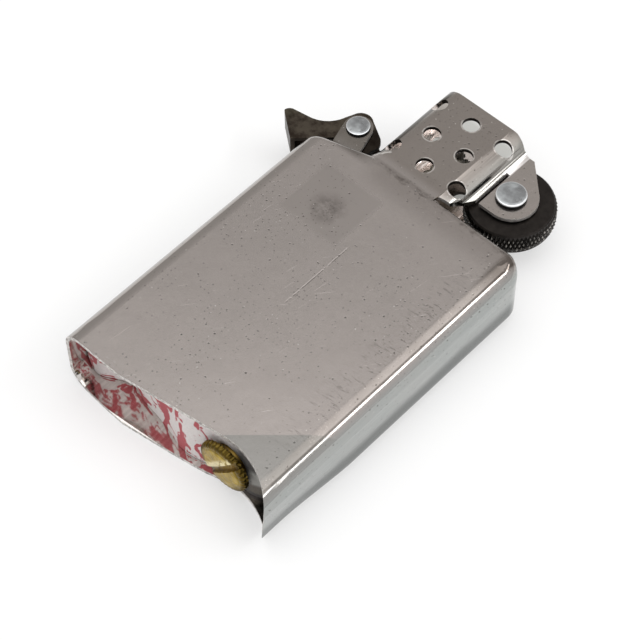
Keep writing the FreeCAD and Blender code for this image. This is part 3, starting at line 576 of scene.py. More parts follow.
# a light burr left round each pierced hole
nearest = None
for across, up in PIERCED:
    hole = (CHIMNEY_MIDDLE + across * HOLE_SPREAD, BODY_TOP + HOLE_FIRST + up * HOLE_ROW, 0)
    off = distance(tree, point, hole, (1, 1, 0))
    nearest = off if nearest is None else work_out(tree, "MINIMUM", nearest, off)
burr = away(tree, nearest, HOLE_ROUND + 0.08)
burr = all_of(tree, step(tree, burr, 0.09, 0.04), step(tree, noise(tree, point, 0.9), 0.42, 0.56))
base = over(tree, base, "#F2EEEA", 0.62, burr)
foot_bend = all_of(tree, tower, within(tree, x, 3.30, 3.40, 4.20, 4.40))
rough = mix_values(tree, foot_bend, rough, 0.16)
# above the slit the foot runs into the ear, and a painted highlight makes it shine as one broad strip
foot_highlight = all_of(tree, within(tree, x, 3.75, 3.95, 4.45, 4.60), step(tree, y, 26.4, 27.0))
base = over(tree, base, "#F8F4F2", 0.85, foot_highlight)
rough = mix_values(tree, foot_highlight, rough, 0.33)
# the bend of the chimney on the cam side, painted dark as shade
shaded_bend = all_of(tree, tower, within(tree, x, -8.0, -7.8, -6.55, -6.2))
base = over(tree, base, "#3C3731", 0.84, shaded_bend)
coat(tree, base, rough, normal=normal)

# Polished steel inside the shell, which mirrors the felt and is painted dark beyond the screw as shade
polished, tree = new_material("drawn_bright_stainless")
point, (x, y, z) = millimetres(tree)
draw_lines = noise(tree, point, (3.0, 0.10, 3.0), 3.0)
base = tint(tree, step(tree, draw_lines, 0.40, 0.70), "#D6D0CC", "#ECE7E3")
# painted shade inside the shell beyond the screw
base = over(tree, base, "#2C2926", 0.97, step(tree, x, 9.0, 10.4))
coat(tree, base, mix_values(tree, draw_lines, 0.05, 0.10), normal=relief(tree, draw_lines, 0.003))

# Sheared edge of the sheet round the mouth, bright and slightly torn
sheared, tree = new_material("sheared_stainless_edge")
point, (x, y, z) = millimetres(tree)
torn = noise(tree, point, 3.0, 4.0, 0.7)
base = tint(tree, step(tree, torn, 0.38, 0.62), "#96928E", "#E2DEDA")
# a painted highlight: the cut edges of the ears and the chimney are lighter
base = over(tree, base, "#D2CECA", 0.8, step(tree, y, BODY_TOP, BODY_TOP + 0.3))
coat(tree, base, 0.46, 0.8, relief(tree, torn, 0.012))

# Dull heat-stained steel inside the chimney
stained, tree = new_material("heat_stained_stainless")
point = millimetres(tree)[0]
film = noise(tree, point, 0.8, 4.0, 0.65)
base = tint(tree, step(tree, film, 0.35, 0.70), "#E4DCD8", "#C8BEB8")
base = tint(tree, step(tree, film, 0.64, 0.70), base, "#8A6A34")
base = over(tree, base, "#33291F", 0.85, step(tree, distance(tree, point, SOOT_PLACE), 2.2, 1.1))
coat(tree, base, 0.20, normal=relief(tree, film, 0.02))

# Dark walls of the pierced holes: some soot, and painted shade where they look into the chimney
sooty_shaded, tree = new_material("sooty_shaded_pierced_steel")
point = millimetres(tree)[0]
soot = noise(tree, point, 2.0, 3.0)
coat(tree, tint(tree, soot, "#1E1A18", "#4A4440"), 0.55, normal=relief(tree, soot, 0.01))

skins = (worn, polished, sheared, stained, sooty_shaded)
for skin in skins:
    shell.data.materials.append(skin)
for flat_face in shell.data.polygons:
    centre = flat_face.center / MM
    way = flat_face.normal
    height = abs(centre.z - MID)
    from_chimney = centre.x - CHIMNEY_MIDDLE
    above = centre.y > BODY_TOP + OVER_TOP
    upright = abs(way.z) < UPRIGHT
    leaning = abs(way.z) < LEANING
    on_ear = abs(height - EAR_MIDDLE) < EAR_HALF and (centre.x > WHEEL_EAR_FROM or centre.x < CAM_EAR_TO)
    on_chimney = above and abs(from_chimney) < CHIMNEY_HALF
    small = flat_face.area / MM ** 2 < WALL_AREA
    rim = leaning and abs(way.z) > RIM_LEANS and abs(height - RIM_MIDDLE) < RIM_HALF
    skin = worn
    if centre.y < MOUTH_LONG - BODY_TOP and way.y < -MOUTH_FACING:
        skin = sheared
    elif on_chimney and upright and small and not on_ear:
        skin = sooty_shaded
    elif above and on_ear and leaning or on_chimney and small and rim:
        skin = sheared
    elif above and upright and abs(height - SHEET_MIDDLE) < SHEET_HALF:
        skin = sheared
    elif centre.y < BODY_TOP - UNDER_TOP and way.x * centre.x + way.z * (centre.z - MID) < 0:
        skin = polished
    elif on_chimney and way.x * from_chimney + way.z * (centre.z - MID) < 0:
        skin = stained
    flat_face.material_index = skins.index(skin)
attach(shell, "case")
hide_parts("insert_case")

# Spark wheel
# A disc of hardened, blackened steel with flat sides. Its rim is knurled in crossed diagonals that bite the
# flint, and the tips are worn bright.
WHEEL_PLACE = Vector((6.35, 25.0, MID))
WHEEL_ROUND = 4.9
WHEEL_HALF = 1.4
WHEEL_BORE = 0.95
RIM_CHAMFER = 0.16
TIP_WEAR = (0.16, 0.05)
TURNING_LINES = 9.0
KNURL_COUNT = 66
KNURL_ROWS = 2
KNURL_DEPTH = 0.24
BAND_LEAN = 0.1
DRILL_SIDES = 48


def lathe(name, rings, sides):
    """A closed turned piece about Z from its profile of radii and heights in millimetres, low end first."""
    bpy.ops.object.select_all(action="DESELECT")
    (radius, height), *others = rings
    bpy.ops.mesh.primitive_circle_add(
        vertices=sides, radius=radius * MM, fill_type="NGON", location=(0, 0, height * MM),
    )
    piece = bpy.context.object
    piece.name = name
    bpy.ops.object.transform_apply(location=True)
    bpy.ops.object.mode_set(mode="EDIT")
    bpy.ops.mesh.select_all(action="SELECT")
    for wider, higher in others:
        bpy.ops.mesh.extrude_region_move(
            TRANSFORM_OT_translate={"value": (0, 0, (higher - height) * MM)},
        )
        share = wider / radius
        bpy.ops.transform.resize(value=(share, share, 1), center_override=(0, 0, 0))
        radius, height = wider, higher
    bpy.ops.mesh.select_all(action="SELECT")
    bpy.ops.mesh.normals_make_consistent(inside=False)
    bpy.ops.object.mode_set(mode="OBJECT")
    return piece


def set_down(piece, place, turn=(0, 0, 0)):
    """Turns a piece about the origin and moves it to its place, in its mesh."""
    piece.rotation_euler = turn
    piece.location = place * MM
    only(piece)
    bpy.ops.object.transform_apply(location=True, rotation=True, scale=True)


def bore_out(piece, radius, length, place, turn=(0, 0, 0)):
    """Cuts a round hole along the turned Z axis through the given place."""
    bpy.ops.object.select_all(action="DESELECT")
    bpy.ops.mesh.primitive_cylinder_add(
        vertices=DRILL_SIDES, radius=radius * MM, depth=length * MM, location=place * MM, rotation=turn,
    )
    drill = bpy.context.object
    apply_modifier(piece, "BOOLEAN", operation="DIFFERENCE", object=drill, solver="EXACT")
    bpy.data.objects.remove(drill, do_unlink=True)


root = WHEEL_ROUND - KNURL_DEPTH
band = WHEEL_HALF - RIM_CHAMFER
row = 2 * band / KNURL_ROWS
wheel = lathe("spark_wheel", [
    (root - RIM_CHAMFER, -WHEEL_HALF), *((root, -band + row * i) for i in range(KNURL_ROWS + 1)),
    (root - RIM_CHAMFER, WHEEL_HALF),
], KNURL_COUNT)


def on_band(thing):
    return abs(thing.center.z) < band * MM and abs(thing.normal.z) < BAND_LEAN


# the band's squares are split crosswise, their old edges dissolved, and the diamonds left drawn out to points
choose(wheel, "polygons", on_band)
bpy.ops.mesh.select_mode(type="EDGE")
bpy.ops.mesh.mark_sharp()
bpy.ops.mesh.region_to_loop()
bpy.ops.mesh.mark_sharp(clear=True)
choose(wheel, "polygons", on_band)
bpy.ops.mesh.poke(offset=0)
choose(wheel, "edges", lambda edge: edge.use_edge_sharp)
bpy.ops.mesh.dissolve_edges(use_verts=False)
choose(wheel, "polygons", lambda face: on_band(face) and len(face.vertices) == 4)
bpy.ops.mesh.poke(offset=KNURL_DEPTH * MM)
bpy.ops.object.mode_set(mode="OBJECT")
bore_out(wheel, WHEEL_BORE, 4 * WHEEL_HALF, Vector((0, 0, 0)))
set_down(wheel, WHEEL_PLACE)

# Blackened steel: nearly black, with faint turning rings on the flat sides and bright worn tips
blackened, tree = new_material("blackened_hard_steel")
point = millimetres(tree)[0]
reach = distance(tree, point, WHEEL_PLACE, (1, 1, 0))
turning = noise(tree, add_node(tree, "CombineXYZ", {0: reach}).outputs[0], TURNING_LINES, 2.0, 0.5)
mottle = noise(tree, point, 1.2, 4.0)
base = tint(tree, mottle, "#1E1C1B", "#3C3835")
tips = all_of(
    tree, step(tree, reach, *(WHEEL_ROUND - depth for depth in TIP_WEAR)),
    step(tree, noise(tree, point, 2.6, 2.0), 0.42, 0.62),
)
base = over(tree, base, "#B8B4AE", 0.95, tips)
normal = relief(tree, turning, 0.008)
normal = relief(tree, mottle, 0.01, normal)
coat(tree, base, mix_values(tree, mottle, 0.32, 0.5), normal=normal)
wheel.data.materials.append(blackened)
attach(wheel, "spark_wheel")
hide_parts("flint_wheel")

# Rivets of the wheel and the cam
# Turned steel pins with a head upset on each side. The heads are slightly crowned and hammered smooth, with
# painted shade in the seam under their edge and a painted highlight round the crown's edge.
RIVETS = [
    # CAD node, new name, place, pin radius, head radius, half length between the heads, head height
    ("wheel_rivet", "wheel_axle_rivet", WHEEL_PLACE, 0.9, 1.65, 2.1, 0.56),
    ("cam_rivet", "cam_axle_rivet", Vector((-11.52, 21.27, MID)), 0.65, 1.3, 1.9, 0.36),
]
RIVET_SIDES = 48
SEAM_SHARE = 0.68
for node, name, place, pin, head, half, thick in RIVETS:
    crown = [
        (head * 0.35, thick), (head * 0.70, thick - 0.01), (head * 0.90, thick - 0.03),
        (head * 0.97, thick - 0.07), (head, thick - 0.14), (head, 0.06), (head * 0.95, 0.0),
    ]
    rings = [(radius, -half - rise) for radius, rise in crown] + [(pin, -half)]
    rings += [(radius, -height) for radius, height in reversed(rings)]
    rivet = lathe(name, rings, RIVET_SIDES)
    bpy.ops.object.shade_smooth_by_angle(angle=SMOOTH_BELOW)
    set_down(rivet, place)
    # Peened steel: pale and softly dented, with a painted highlight round the crown and painted shade in the
    # seam under the head
    peened, tree = new_material("peened_steel_" + name)
    point, (x, y, z) = millimetres(tree)
    dents = noise(tree, point, 0.9, 3.0, 0.55)
    fine = noise(tree, point, 5.0, 3.0)
    base = tint(tree, step(tree, dents, 0.35, 0.65), "#9A9C9E", "#BEC2C4")
    height = away(tree, z, MID)
    seam_top = half + SEAM_SHARE * thick
    # painted shade in the seam under the head
    seam_shade = step(tree, height, seam_top + 0.03, seam_top - 0.03)
    crown_top = half + thick
    # a painted highlight round the crown's edge
    rim_highlight = within(tree, height, seam_top, seam_top + 0.05, crown_top - 0.06, crown_top - 0.02)
    base = tint(tree, rim_highlight, base, "#F0F2F4")
    base = over(tree, base, "#120F0D", 0.95, seam_shade)
    normal = relief(tree, dents, 0.06)
    normal = relief(tree, fine, 0.006, normal)
    rough = mix_values(tree, seam_shade, mix_values(tree, dents, 0.22, 0.38), 0.8)
    coat(tree, base, rough, normal=normal)
    rivet.data.materials.append(peened)
    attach(rivet, "case")
    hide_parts(node)

# Lid cam
# A lever folded from sheet steel, which turns on its rivet and holds the lid open or shut. Its browned finish
# is rubbed at the folds and the tip.
CAM_BEVEL = 0.10
CAM_BEVEL_OVER = math.radians(35)
CAM_TIP_ROUND = 0.40
CAM_TIP_X = -19.2
CAM_TIP_Y = 18.07
CAM_TIP_NEAR = 0.1
CAM_TIP_HIGH = 1.0
CAM_TIP_LEAN = 0.01
cam = solid_copy("cam", "lid_cam_lever")


def on_tip(edge):
    first, second = (cam.data.vertices[index].co / MM for index in edge.vertices)
    lean = math.hypot(second.x - first.x, second.y - first.y)
    upright = lean < CAM_TIP_LEAN and abs(second.z - first.z) > CAM_TIP_HIGH
    return upright and first.x < CAM_TIP_X and abs(first.y - CAM_TIP_Y) < CAM_TIP_NEAR


choose(cam, "edges", on_tip)
bpy.ops.mesh.bevel(offset=CAM_TIP_ROUND * MM, segments=4)
bpy.ops.object.mode_set(mode="OBJECT")
apply_modifier(
    cam, "BEVEL", width=CAM_BEVEL * MM, segments=3, limit_method="ANGLE", angle_limit=CAM_BEVEL_OVER,
)
bpy.ops.object.shade_smooth_by_angle(angle=SMOOTH_BELOW)
apply_modifier(cam, "WEIGHTED_NORMAL", keep_sharp=True)

# Browned steel: dark and mottled with a low shine, greyer at the folds and the tip, and painted darker beside
# the chimney as shade
browned, tree = new_material("browned_sheet_steel")
point, (x, y, z) = millimetres(tree)
mottle = noise(tree, point, 0.7, 5.0, 0.65)
base = tint(tree, step(tree, mottle, 0.35, 0.65), "#332B25", "#463D35")
fold = step(tree, away(tree, z, MID), 1.18, 1.30)
base = over(tree, base, "#7A7468", 0.25, fold, step(tree, mottle, 0.3, 0.6))
base = over(tree, base, "#5E5C4C", 0.30, step(tree, x, -17.6, -19.0))
# painted shade beside the chimney
base = over(tree, base, "#1A1512", 0.75, step(tree, x, -10.9, -10.0))
normal = relief(tree, mottle, 0.012)
coat(tree, base, mix_values(tree, mottle, 0.30, 0.46), normal=normal)
cam.data.materials.append(browned)
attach(cam, "lid_cam")
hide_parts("cam")

# Inner works
# The plate under the chimney, the leaf that presses on the cam and its rivet, the brass flint tube, the
# flint, its coil spring and the brass tip. All are plain turned, stamped or wound parts.
INNER_BEVEL = 0.05
INNER_STEEL = ("inner_plate", "plate_steel"), ("cam_spring", "spring_steel"), ("spring_rivet", "rivet_steel")
INNER_BRASS = ("flint_tube", "tube_brass", "case"), ("spring_tip", "tube_brass", "feed")

# Rolled spring steel: grey, with fine lines along the sheet
stamped, tree = new_material("stamped_spring_steel")
point = millimetres(tree)[0]
rolled = noise(tree, point, (0.3, 3.0, 3.0), 3.0)
base = tint(tree, step(tree, rolled, 0.35, 0.70), "#6E6C68", "#8E8C88")
coat(tree, base, mix_values(tree, rolled, 0.25, 0.40), normal=relief(tree, rolled, 0.005))

# Tarnished brass: dull yellow with brown stains
tarnished, tree = new_material("tarnished_brass")
point = millimetres(tree)[0]
stain = noise(tree, point, 0.5, 4.0)
base = tint(tree, step(tree, stain, 0.35, 0.70), "#8A7038", "#B0924C")
coat(tree, base, mix_values(tree, stain, 0.26, 0.42), normal=relief(tree, stain, 0.01))

# Sintered flint alloy: dark, matt and gritty
flint_alloy, tree = new_material("sintered_flint")
point = millimetres(tree)[0]
grit = noise(tree, point, 6.0, 3.0)
coat(tree, tint(tree, grit, "#1E1C1B", "#4A4744"), 0.7, normal=relief(tree, grit, 0.03))

# Drawn spring wire: smooth grey with fine lines along the wire
wound, tree = new_material("wound_spring_wire")
point = millimetres(tree)[0]
drawn = noise(tree, point, (4.0, 1.0, 4.0), 3.0)
coat(tree, tint(tree, drawn, "#6A6A6C", "#929496"), mix_values(tree, drawn, 0.22, 0.36))


def finished_copy(node, body, material):
    """A CAD piece with its edges broken and joined, which takes the place of its node."""
    piece = solid_copy(node, node + "_finished")
    apply_modifier(
        piece, "BEVEL", width=INNER_BEVEL * MM, segments=2, limit_method="ANGLE", angle_limit=BEVEL_OVER,
    )
    bpy.ops.object.shade_smooth_by_angle(angle=SMOOTH_BELOW)
    piece.data.materials.append(material)
    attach(piece, body)
    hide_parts(node)


for node, slot in INNER_STEEL:
    finished_copy(node, "case", stamped)
for node, slot, body in INNER_BRASS:
    finished_copy(node, body, tarnished)
finished_copy("flint", "striking_flint", flint_alloy)
coil_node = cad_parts["flint_spring"]
for holder in coil_node.material_slots:
    holder.link = "OBJECT"
    holder.material = wound

# Flint screw
# A turned brass screw that closes the flint tube and presses on the spring. Its wide head is reeded for
# fingers, slotted for a coin and gently crowned, and its face is worn.
SCREW_PLACE = Vector((6.35, -17.57, MID))
SCREW_SIDES = 144
REEDS = 36
HEAD_ROUND = 3.0
HEAD_THICK = 0.95
GROOVE_FROM = 2.60
GROOVE_HIGH = (0.13, HEAD_THICK + 0.01)
GROOVE_SHARE = 0.957
GROOVE_TURN = (0.15, 0.6)
THREAD_END = 4.35
THREAD_PITCH = 0.5
THREAD_ROOT = 1.30
THREAD_CREST = 1.45
THREAD_NOSE = 1.1
SLOT_WIDE = 0.8
SLOT_DEEP = 0.5
SLOT_TURN = math.radians(40)
SLOT_BEVEL = 0.09
SLOT_BEVEL_OVER = math.radians(60)
SCREW_SMOOTH_BELOW = math.radians(40)
face_rings = [
    (0.5, 0.0), (1.3, 0.012), (1.95, 0.05), (2.25, 0.10), (2.36, 0.17), (2.50, 0.15), (2.68, 0.17),
    (2.84, 0.25), (2.93, 0.34), (HEAD_ROUND, 0.44), (HEAD_ROUND, HEAD_THICK - 0.08),
    (HEAD_ROUND - 0.1, HEAD_THICK),
]
threads = int((THREAD_END - HEAD_THICK) / THREAD_PITCH)
thread_rings = [
    (radius, HEAD_THICK + THREAD_PITCH * (turn + part))
    for turn in range(threads)
    for radius, part in ((THREAD_ROOT, 0.1), (THREAD_CREST, 0.5), (THREAD_ROOT, 0.9))
]
screw = lathe("reeded_flint_screw", [*face_rings, *thread_rings, (THREAD_NOSE, THREAD_END)], SCREW_SIDES)


def in_groove(vertex):
    flat = math.hypot(vertex.co.x, vertex.co.y) / MM
    around = math.atan2(vertex.co.y, vertex.co.x) / math.tau * REEDS % 1
    (low, high), (first, last) = GROOVE_HIGH, GROOVE_TURN
    return flat > GROOVE_FROM and low < vertex.co.z / MM < high and (around < first or around > last)


choose(screw, "vertices", in_groove)
bpy.ops.transform.resize(value=(GROOVE_SHARE, GROOVE_SHARE, 1), center_override=(0, 0, 0))
bpy.ops.object.mode_set(mode="OBJECT")
bpy.ops.object.select_all(action="DESELECT")
bpy.ops.mesh.primitive_cube_add(size=1, scale=(SLOT_WIDE * MM, 3 * HEAD_ROUND * MM, 2 * SLOT_DEEP * MM))
slot_cutter = bpy.context.object
set_down(slot_cutter, Vector((0, 0, 0)))
apply_modifier(screw, "BOOLEAN", operation="DIFFERENCE", object=slot_cutter, solver="EXACT")
bpy.data.objects.remove(slot_cutter, do_unlink=True)
apply_modifier(
    screw, "BEVEL", width=SLOT_BEVEL * MM, segments=2, limit_method="ANGLE", angle_limit=SLOT_BEVEL_OVER,
)
bpy.ops.object.shade_smooth_by_angle(angle=SCREW_SMOOTH_BELOW)
set_down(screw, SCREW_PLACE, (math.radians(-90), SLOT_TURN, 0))

# Worn brass: yellow-brown and shiny in soft dents, with dirt in the reeds and on the rim, a painted highlight
# on the slot's bank and painted shade in the slot
old_brass, tree = new_material("worn_turned_brass")
point, (x, y, z) = millimetres(tree)
from_axis = add_node(tree, "VectorMath", {0: point, 1: SCREW_PLACE}, operation="SUBTRACT").outputs[0]
reach = distance(tree, point, SCREW_PLACE, (1, 0, 1))
wear = noise(tree, point, 0.9, 4.0, 0.6)
swirl = noise(tree, point, 0.9, 3.0, 0.55, twist=1.6)
base = tint(tree, step(tree, wear, 0.35, 0.70), "#8E7834", "#B89F50")
base = over(tree, base, "#54441E", 0.70, step(tree, reach, 2.36, 2.60))
dirt = within(tree, reach, 2.15, 2.32, 2.40, 2.52)
base = over(tree, base, "#3A2C12", 0.35, dirt)
off_slot = add_node(tree, "VectorMath", {
    0: from_axis, 1: (math.cos(SLOT_TURN), 0, -math.sin(SLOT_TURN)),
}, operation="DOT_PRODUCT").outputs["Value"]
# a painted highlight on the worn bank above the slot
bank_highlight = all_of(
    tree, within(tree, off_slot, -1.20, -0.75, -0.42, -0.36), step(tree, reach, 2.8, 2.5),
    step(tree, swirl, 0.36, 0.52),
)
base = over(tree, base, "#F6EBC0", 0.80, bank_highlight)
grooves = within(tree, reach, 2.6, 2.75, 2.86, 2.95)
base = over(tree, base, "#463612", 0.70, grooves)
# painted shade inside the slot
slot_shade = step(tree, y, SCREW_PLACE.y + 0.28, SCREW_PLACE.y + 0.45)
base = over(tree, base, "#5A3E20", 0.5, slot_shade, step(tree, reach, 2.7, 2.4))
normal = relief(tree, swirl, 0.30)
normal = relief(tree, wear, 0.015, normal)
coat(tree, base, mix_values(tree, wear, 0.24, 0.40), normal=normal)
screw.data.materials.append(old_brass)
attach(screw, "screw")
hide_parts("flint_screw")

# Felt
# One slab of white wool felt laid over the packing, cut round the flint tube and left free at its other end
# to lift for filling. Handling has bulged its face, and red dye marks have soaked into it.
FELT_ENDS = (-13.25, 12.75)
FELT_DEEP = (-16.05, -13.47)
FELT_HIGH = (0.47, 8.13)
FELT_CORNER = 1.75
FELT_VOXEL = 0.20
FELT_BORE = 2.0
FELT_RIPPLE = 0.25
FELT_RIPPLE_SIZE = 2.4
FELT_SPREAD = -0.15
FELT_SPREAD_REACH = 1.2
FELT_SIDE_FRONT = -15.2
FACING = 0.7
# a pull takes hold of the face this near to its X, and no deeper than this
PULL_NEAR = 0.12
PULL_DEEP = 1.0
FELT_FOOT_FRONT = -15.5
FELT_FOOT_HIGH = 0.45
FELT_FOOT_SHARE = 0.2
LOW_DYE_SHARE = 0.09
FELT_PULLS = [
    # X across the slab, how far its face moves along Y, and how far round the pull reaches
    (-12.6, -0.45, 2.2), (-8.4, 0.95, 3.2), (-5.2, 0.20, 2.0), (0.6, -0.90, 4.2), (11.8, 1.1, 3.2),
]


def ripple(piece, name, strength, size, group=""):
    """Displaces a soft piece by broad noise, so that its surface is uneven."""
    cloud = bpy.data.textures.new(name, "CLOUDS")
    cloud.noise_scale = size * MM
    cloud.noise_depth = 2
    apply_modifier(
        piece, "DISPLACE", texture=cloud, strength=strength * MM, mid_level=0.5, vertex_group=group,
        texture_coords="LOCAL",
    )


spans = (FELT_ENDS, FELT_DEEP, FELT_HIGH)
bpy.ops.object.select_all(action="DESELECT")
bpy.ops.mesh.primitive_cube_add(
    size=1, location=[sum(span) / 2 * MM for span in spans], scale=[(b - a) * MM for a, b in spans],
)
felt = bpy.context.object
felt.name = "fuel_felt"
bpy.ops.object.transform_apply(location=True, rotation=True, scale=True)


def runs_inward(edge):
    first, second = (felt.data.vertices[index].co for index in edge.vertices)
    return abs(first.y - second.y) > MM


choose(felt, "edges", runs_inward)
bpy.ops.mesh.bevel(offset=FELT_CORNER * MM, segments=5)
bpy.ops.object.mode_set(mode="OBJECT")
bore_out(felt, FELT_BORE, 6 * FELT_BORE, Vector((SCREW_PLACE.x, FELT_DEEP[0], MID)), (math.radians(90), 0, 0))
apply_modifier(felt, "REMESH", mode="VOXEL", voxel_size=FELT_VOXEL * MM)
apply_modifier(felt, "SMOOTH", factor=0.5, iterations=1)
for across, out, reach in FELT_PULLS:
    choose(felt, "vertices", lambda vertex: (
        abs(vertex.co.x / MM - across) < PULL_NEAR and vertex.co.y / MM < FELT_DEEP[0] + PULL_DEEP
        and vertex.normal.y < -FACING
    ))
    bpy.ops.transform.translate(
        value=(0, out * MM, 0), use_proportional_edit=True, proportional_edit_falloff="SMOOTH",
        proportional_size=reach * MM, use_proportional_connected=True,
    )
choose(felt, "vertices", lambda vertex: vertex.normal.x < -FACING and vertex.co.y / MM < FELT_SIDE_FRONT)
bpy.ops.transform.translate(
    value=(FELT_SPREAD * MM, 0, 0), use_proportional_edit=True, proportional_edit_falloff="SMOOTH",
    proportional_size=FELT_SPREAD_REACH * MM, use_proportional_connected=True,
)
bpy.ops.object.mode_set(mode="OBJECT")
front = felt.vertex_groups.new(name="front")
front.add([v.index for v in felt.data.vertices if v.normal.y < -FACING], 1.0, "REPLACE")
ripple(felt, "felt_ripple", FELT_RIPPLE, FELT_RIPPLE_SIZE, "front")
# the lower front edge lies close to the sheet
for vertex in felt.data.vertices:
    lift = vertex.co.z / MM - FELT_HIGH[0]
    if vertex.co.y / MM < FELT_FOOT_FRONT and lift < FELT_FOOT_HIGH:
        vertex.co.z = (FELT_HIGH[0] + lift * FELT_FOOT_SHARE) * MM
only(felt)
bpy.ops.object.shade_smooth()

# Wool felt: matt white fibres, with red dye soaked in as long marks
dyed, tree = new_material("dyed_wool_felt")
point, (x, y, z) = millimetres(tree)
# marks about 2 mm across, and a few more of them low on the left
warped = noise(tree, point, 0.50, 3.5, 0.52, twist=1.3)
bars = noise(tree, point, (0.85, 0.2, 0.32), 2.0, 0.5)
low_band = all_of(
    tree, within(tree, z, 0.5, 1.0, 1.6, 2.6), within(tree, x, -12.4, -11.4, -6.8, -5.6), LOW_DYE_SHARE,
)
warped = work_out(tree, "ADD", warped, low_band)
marks = work_out(tree, "MAXIMUM", step(tree, warped, 0.505, 0.545), step(tree, bars, 0.54, 0.58))
marks = all_of(tree, marks, step(tree, x, 4.4, 3.6), step(tree, y, -14.2, -14.8))
fibres = noise(tree, point, 5.0, 4.0, 0.75)
wool = tint(tree, fibres, "#C6BEBC", "#F4EEEC")
dye = tint(tree, fibres, "#90061E", "#C4283E")
base = tint(tree, all_of(tree, marks, mix_values(tree, fibres, 0.80, 1.0)), wool, dye)
# both ends are painted darker as shade, the one beyond the screw nearly black, with a paler patch halfway up
# and a greyer one below it
base = over(tree, base, "#5A3A38", 0.3, step(tree, x, -10.8, -12.2))
base = over(tree, base, "#2E2A28", 0.92, step(tree, x, 6.0, 8.0))
pale_patch = all_of(tree, step(tree, x, 8.4, 8.9), within(tree, z, 2.1, 2.9, 4.4, 5.4))
base = over(tree, base, "#BCBAB4", 0.85, pale_patch)
grey_patch = all_of(tree, step(tree, x, 8.4, 8.9), within(tree, z, 0.9, 1.2, 2.1, 2.9))
base = over(tree, base, "#7E766A", 0.6, grey_patch)
coat(
    tree, base, 0.9, 0.0, relief(tree, fibres, 0.12), **{"Sheen Weight": 0.1, "Sheen Roughness": 0.5},
)
felt.data.materials.append(dyed)
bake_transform(felt)
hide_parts("felt_pad", "felt_flap")

# Cotton packing
# Balls of loose cotton wool, pressed into the shell by hand round the wick and the tube. They soak up the
# fuel, and show as soft tufts behind the lifted felt.
BALL_COUNT = 5
COTTON_VOXEL = 0.42
COTTON_RIPPLE = 0.35
COTTON_RIPPLE_SIZE = 1.4

# Cotton wool: matt white tufts with finer fibres across them
cotton, tree = new_material("loose_cotton_wool")
point = millimetres(tree)[0]
tufts = noise(tree, point, 1.6, 5.0, 0.7)
threads = noise(tree, point, (4.0, 0.8, 4.0), 3.0, 0.7, turn=30.0)
base = tint(tree, tufts, "#CFCBC2", "#F4F1EA")
normal = relief(tree, tufts, 0.30)
normal = relief(tree, threads, 0.10, normal)
coat(tree, base, 0.95, 0.0, normal, **{"Sheen Weight": 0.3, "Sheen Roughness": 0.6})
for number in range(1, BALL_COUNT + 1):
    ball = solid_copy(f"packing_{number}", f"cotton_ball_{number}")
    apply_modifier(ball, "REMESH", mode="VOXEL", voxel_size=COTTON_VOXEL * MM)
    apply_modifier(ball, "SMOOTH", factor=0.6, iterations=6)
    ripple(ball, f"cotton_ripple_{number}", COTTON_RIPPLE, COTTON_RIPPLE_SIZE)
    only(ball)
    bpy.ops.object.shade_smooth()
    ball.data.materials.append(cotton)
    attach(ball, "case")
    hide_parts(f"packing_{number}")

# Wick
# Twelve cotton strands braided over and under each other round a twisted pair of copper wires, which keep the
# wick upright in the chimney.
WICK_PLACE = Vector((-2.05, 0, MID))
WICK_ENDS = (-10.84, 26.80)
BRAID_EACH_WAY = 6
BRAID_PITCH = 7.0
BRAID_ROUND = 0.93
BRAID_SWING = 0.12
BRAID_STRAND = 0.22
BRAID_STEP = 0.28
CORE_ROUND = 0.78
CORE_LOW = 0.70
CORE_TOP = 0.60
CORE_LOW_ROUND = 0.1
CORE_TOP_ROUND = 0.2
CORE_TOP_DOWN = 0.05
CORE_BORE = 0.24
CORE_SIDES = 24
WIRE_TOP = 27.33
WIRE_SWING = 0.11
WIRE_STRAND = 0.105
WIRE_PITCH = 1.6
WIRE_STEP = 0.2


def winding(name, place, ends, step_long, thick, way):
    """A round strand along Y whose distance and angle from the axis are given by a function of length."""
    curve = bpy.data.curves.new(name, "CURVE")
    curve.dimensions = "3D"
    curve.bevel_depth = thick * MM
    curve.bevel_resolution = 1
    curve.use_fill_caps = True
    curve.resolution_u = 1
    low, high = ends
    steps = int((high - low) / step_long)
    line = curve.splines.new("POLY")
    line.points.add(steps)
    for index, spot in enumerate(line.points):
        along = (high - low) * index / steps
        reach, angle = way(along)
        spot.co = [c * MM for c in (
            place.x + reach * math.cos(angle), low + along, place.z + reach * math.sin(angle),
        )] + [1]
    strand = bpy.data.objects.new(name, curve)
    bpy.context.collection.objects.link(strand)
    return strand


def bundle(name, strands):
    """Turns the strands into meshes and joins them into one piece."""
    only(strands[0])
    for strand in strands:
        strand.select_set(True)
    bpy.ops.object.convert(target="MESH")
    bpy.ops.object.join()
    bpy.ops.object.shade_smooth()
    piece = bpy.context.object
    piece.name = name
    return piece


def braid_way(turn, start):
    """The way of a strand that goes over and under those wound the other way."""
    return lambda along: (
        BRAID_ROUND + turn * BRAID_SWING * math.cos(math.tau * BRAID_EACH_WAY * along / BRAID_PITCH),
        turn * math.tau * along / BRAID_PITCH + start,
    )


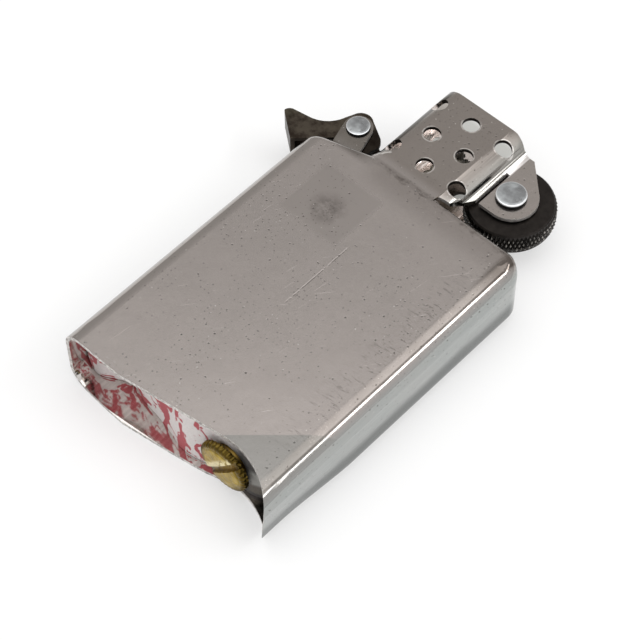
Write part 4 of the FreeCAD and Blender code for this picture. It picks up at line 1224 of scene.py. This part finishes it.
strands = [
    winding(
        "braid_strand", WICK_PLACE, WICK_ENDS, BRAID_STEP, BRAID_STRAND,
        braid_way(turn, math.tau * index / BRAID_EACH_WAY),
    )
    for turn in (1, -1) for index in range(BRAID_EACH_WAY)
]
core_middle = (WICK_ENDS[0] + WICK_ENDS[1]) / 2
core_half = (WICK_ENDS[1] - WICK_ENDS[0]) / 2
core = lathe("wick_core", [
    (CORE_LOW, -core_half), (CORE_ROUND, CORE_LOW_ROUND - core_half),
    (CORE_ROUND, core_half - CORE_TOP_ROUND), (CORE_TOP, core_half - CORE_TOP_DOWN),
], CORE_SIDES)
bore_out(core, CORE_BORE, 3 * core_half, Vector((0, 0, 0)))
set_down(core, Vector((WICK_PLACE.x, core_middle, WICK_PLACE.z)), (math.radians(-90), 0, 0))
wick = bundle("braided_wick", strands)
only(wick)
core.select_set(True)
bpy.ops.object.join()

# Braided cotton: cream strands, charred at the top
braided, tree = new_material("braided_cotton")
point, (x, y, z) = millimetres(tree)
twist = noise(tree, point, (6.0, 2.0, 6.0), 3.0, 0.7)
soot = step(tree, y, 24.8, 26.4)
base = tint(tree, twist, "#BDB5A4", "#E4DED0")
base = over(tree, base, "#2A2622", 0.85, soot)
coat(tree, base, 0.92, 0.0, relief(tree, twist, 0.08), **{"Sheen Weight": 0.2})
wick.data.materials.append(braided)
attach(wick, "wick_cord")
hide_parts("wick")

wire = bundle("twisted_wick_wire", [
    winding(
        "wick_wire_strand", WICK_PLACE, (WICK_ENDS[0], WIRE_TOP), WIRE_STEP, WIRE_STRAND,
        lambda along, start=start: (WIRE_SWING, math.tau * along / WIRE_PITCH + start),
    )
    for start in (0, math.pi)
])

# Copper wire: brown with a shine, charred at the top
copper, tree = new_material("drawn_copper_wire")
point, (x, y, z) = millimetres(tree)
drawn = noise(tree, point, (5.0, 1.0, 5.0), 3.0)
base = tint(tree, drawn, "#8A5A34", "#B47C4C")
base = tint(tree, step(tree, y, 25.5, 27.0), base, "#3A2A20")
coat(tree, base, mix_values(tree, drawn, 0.28, 0.42))
wire.data.materials.append(copper)
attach(wire, "wick_cord")
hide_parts("wick_wire")
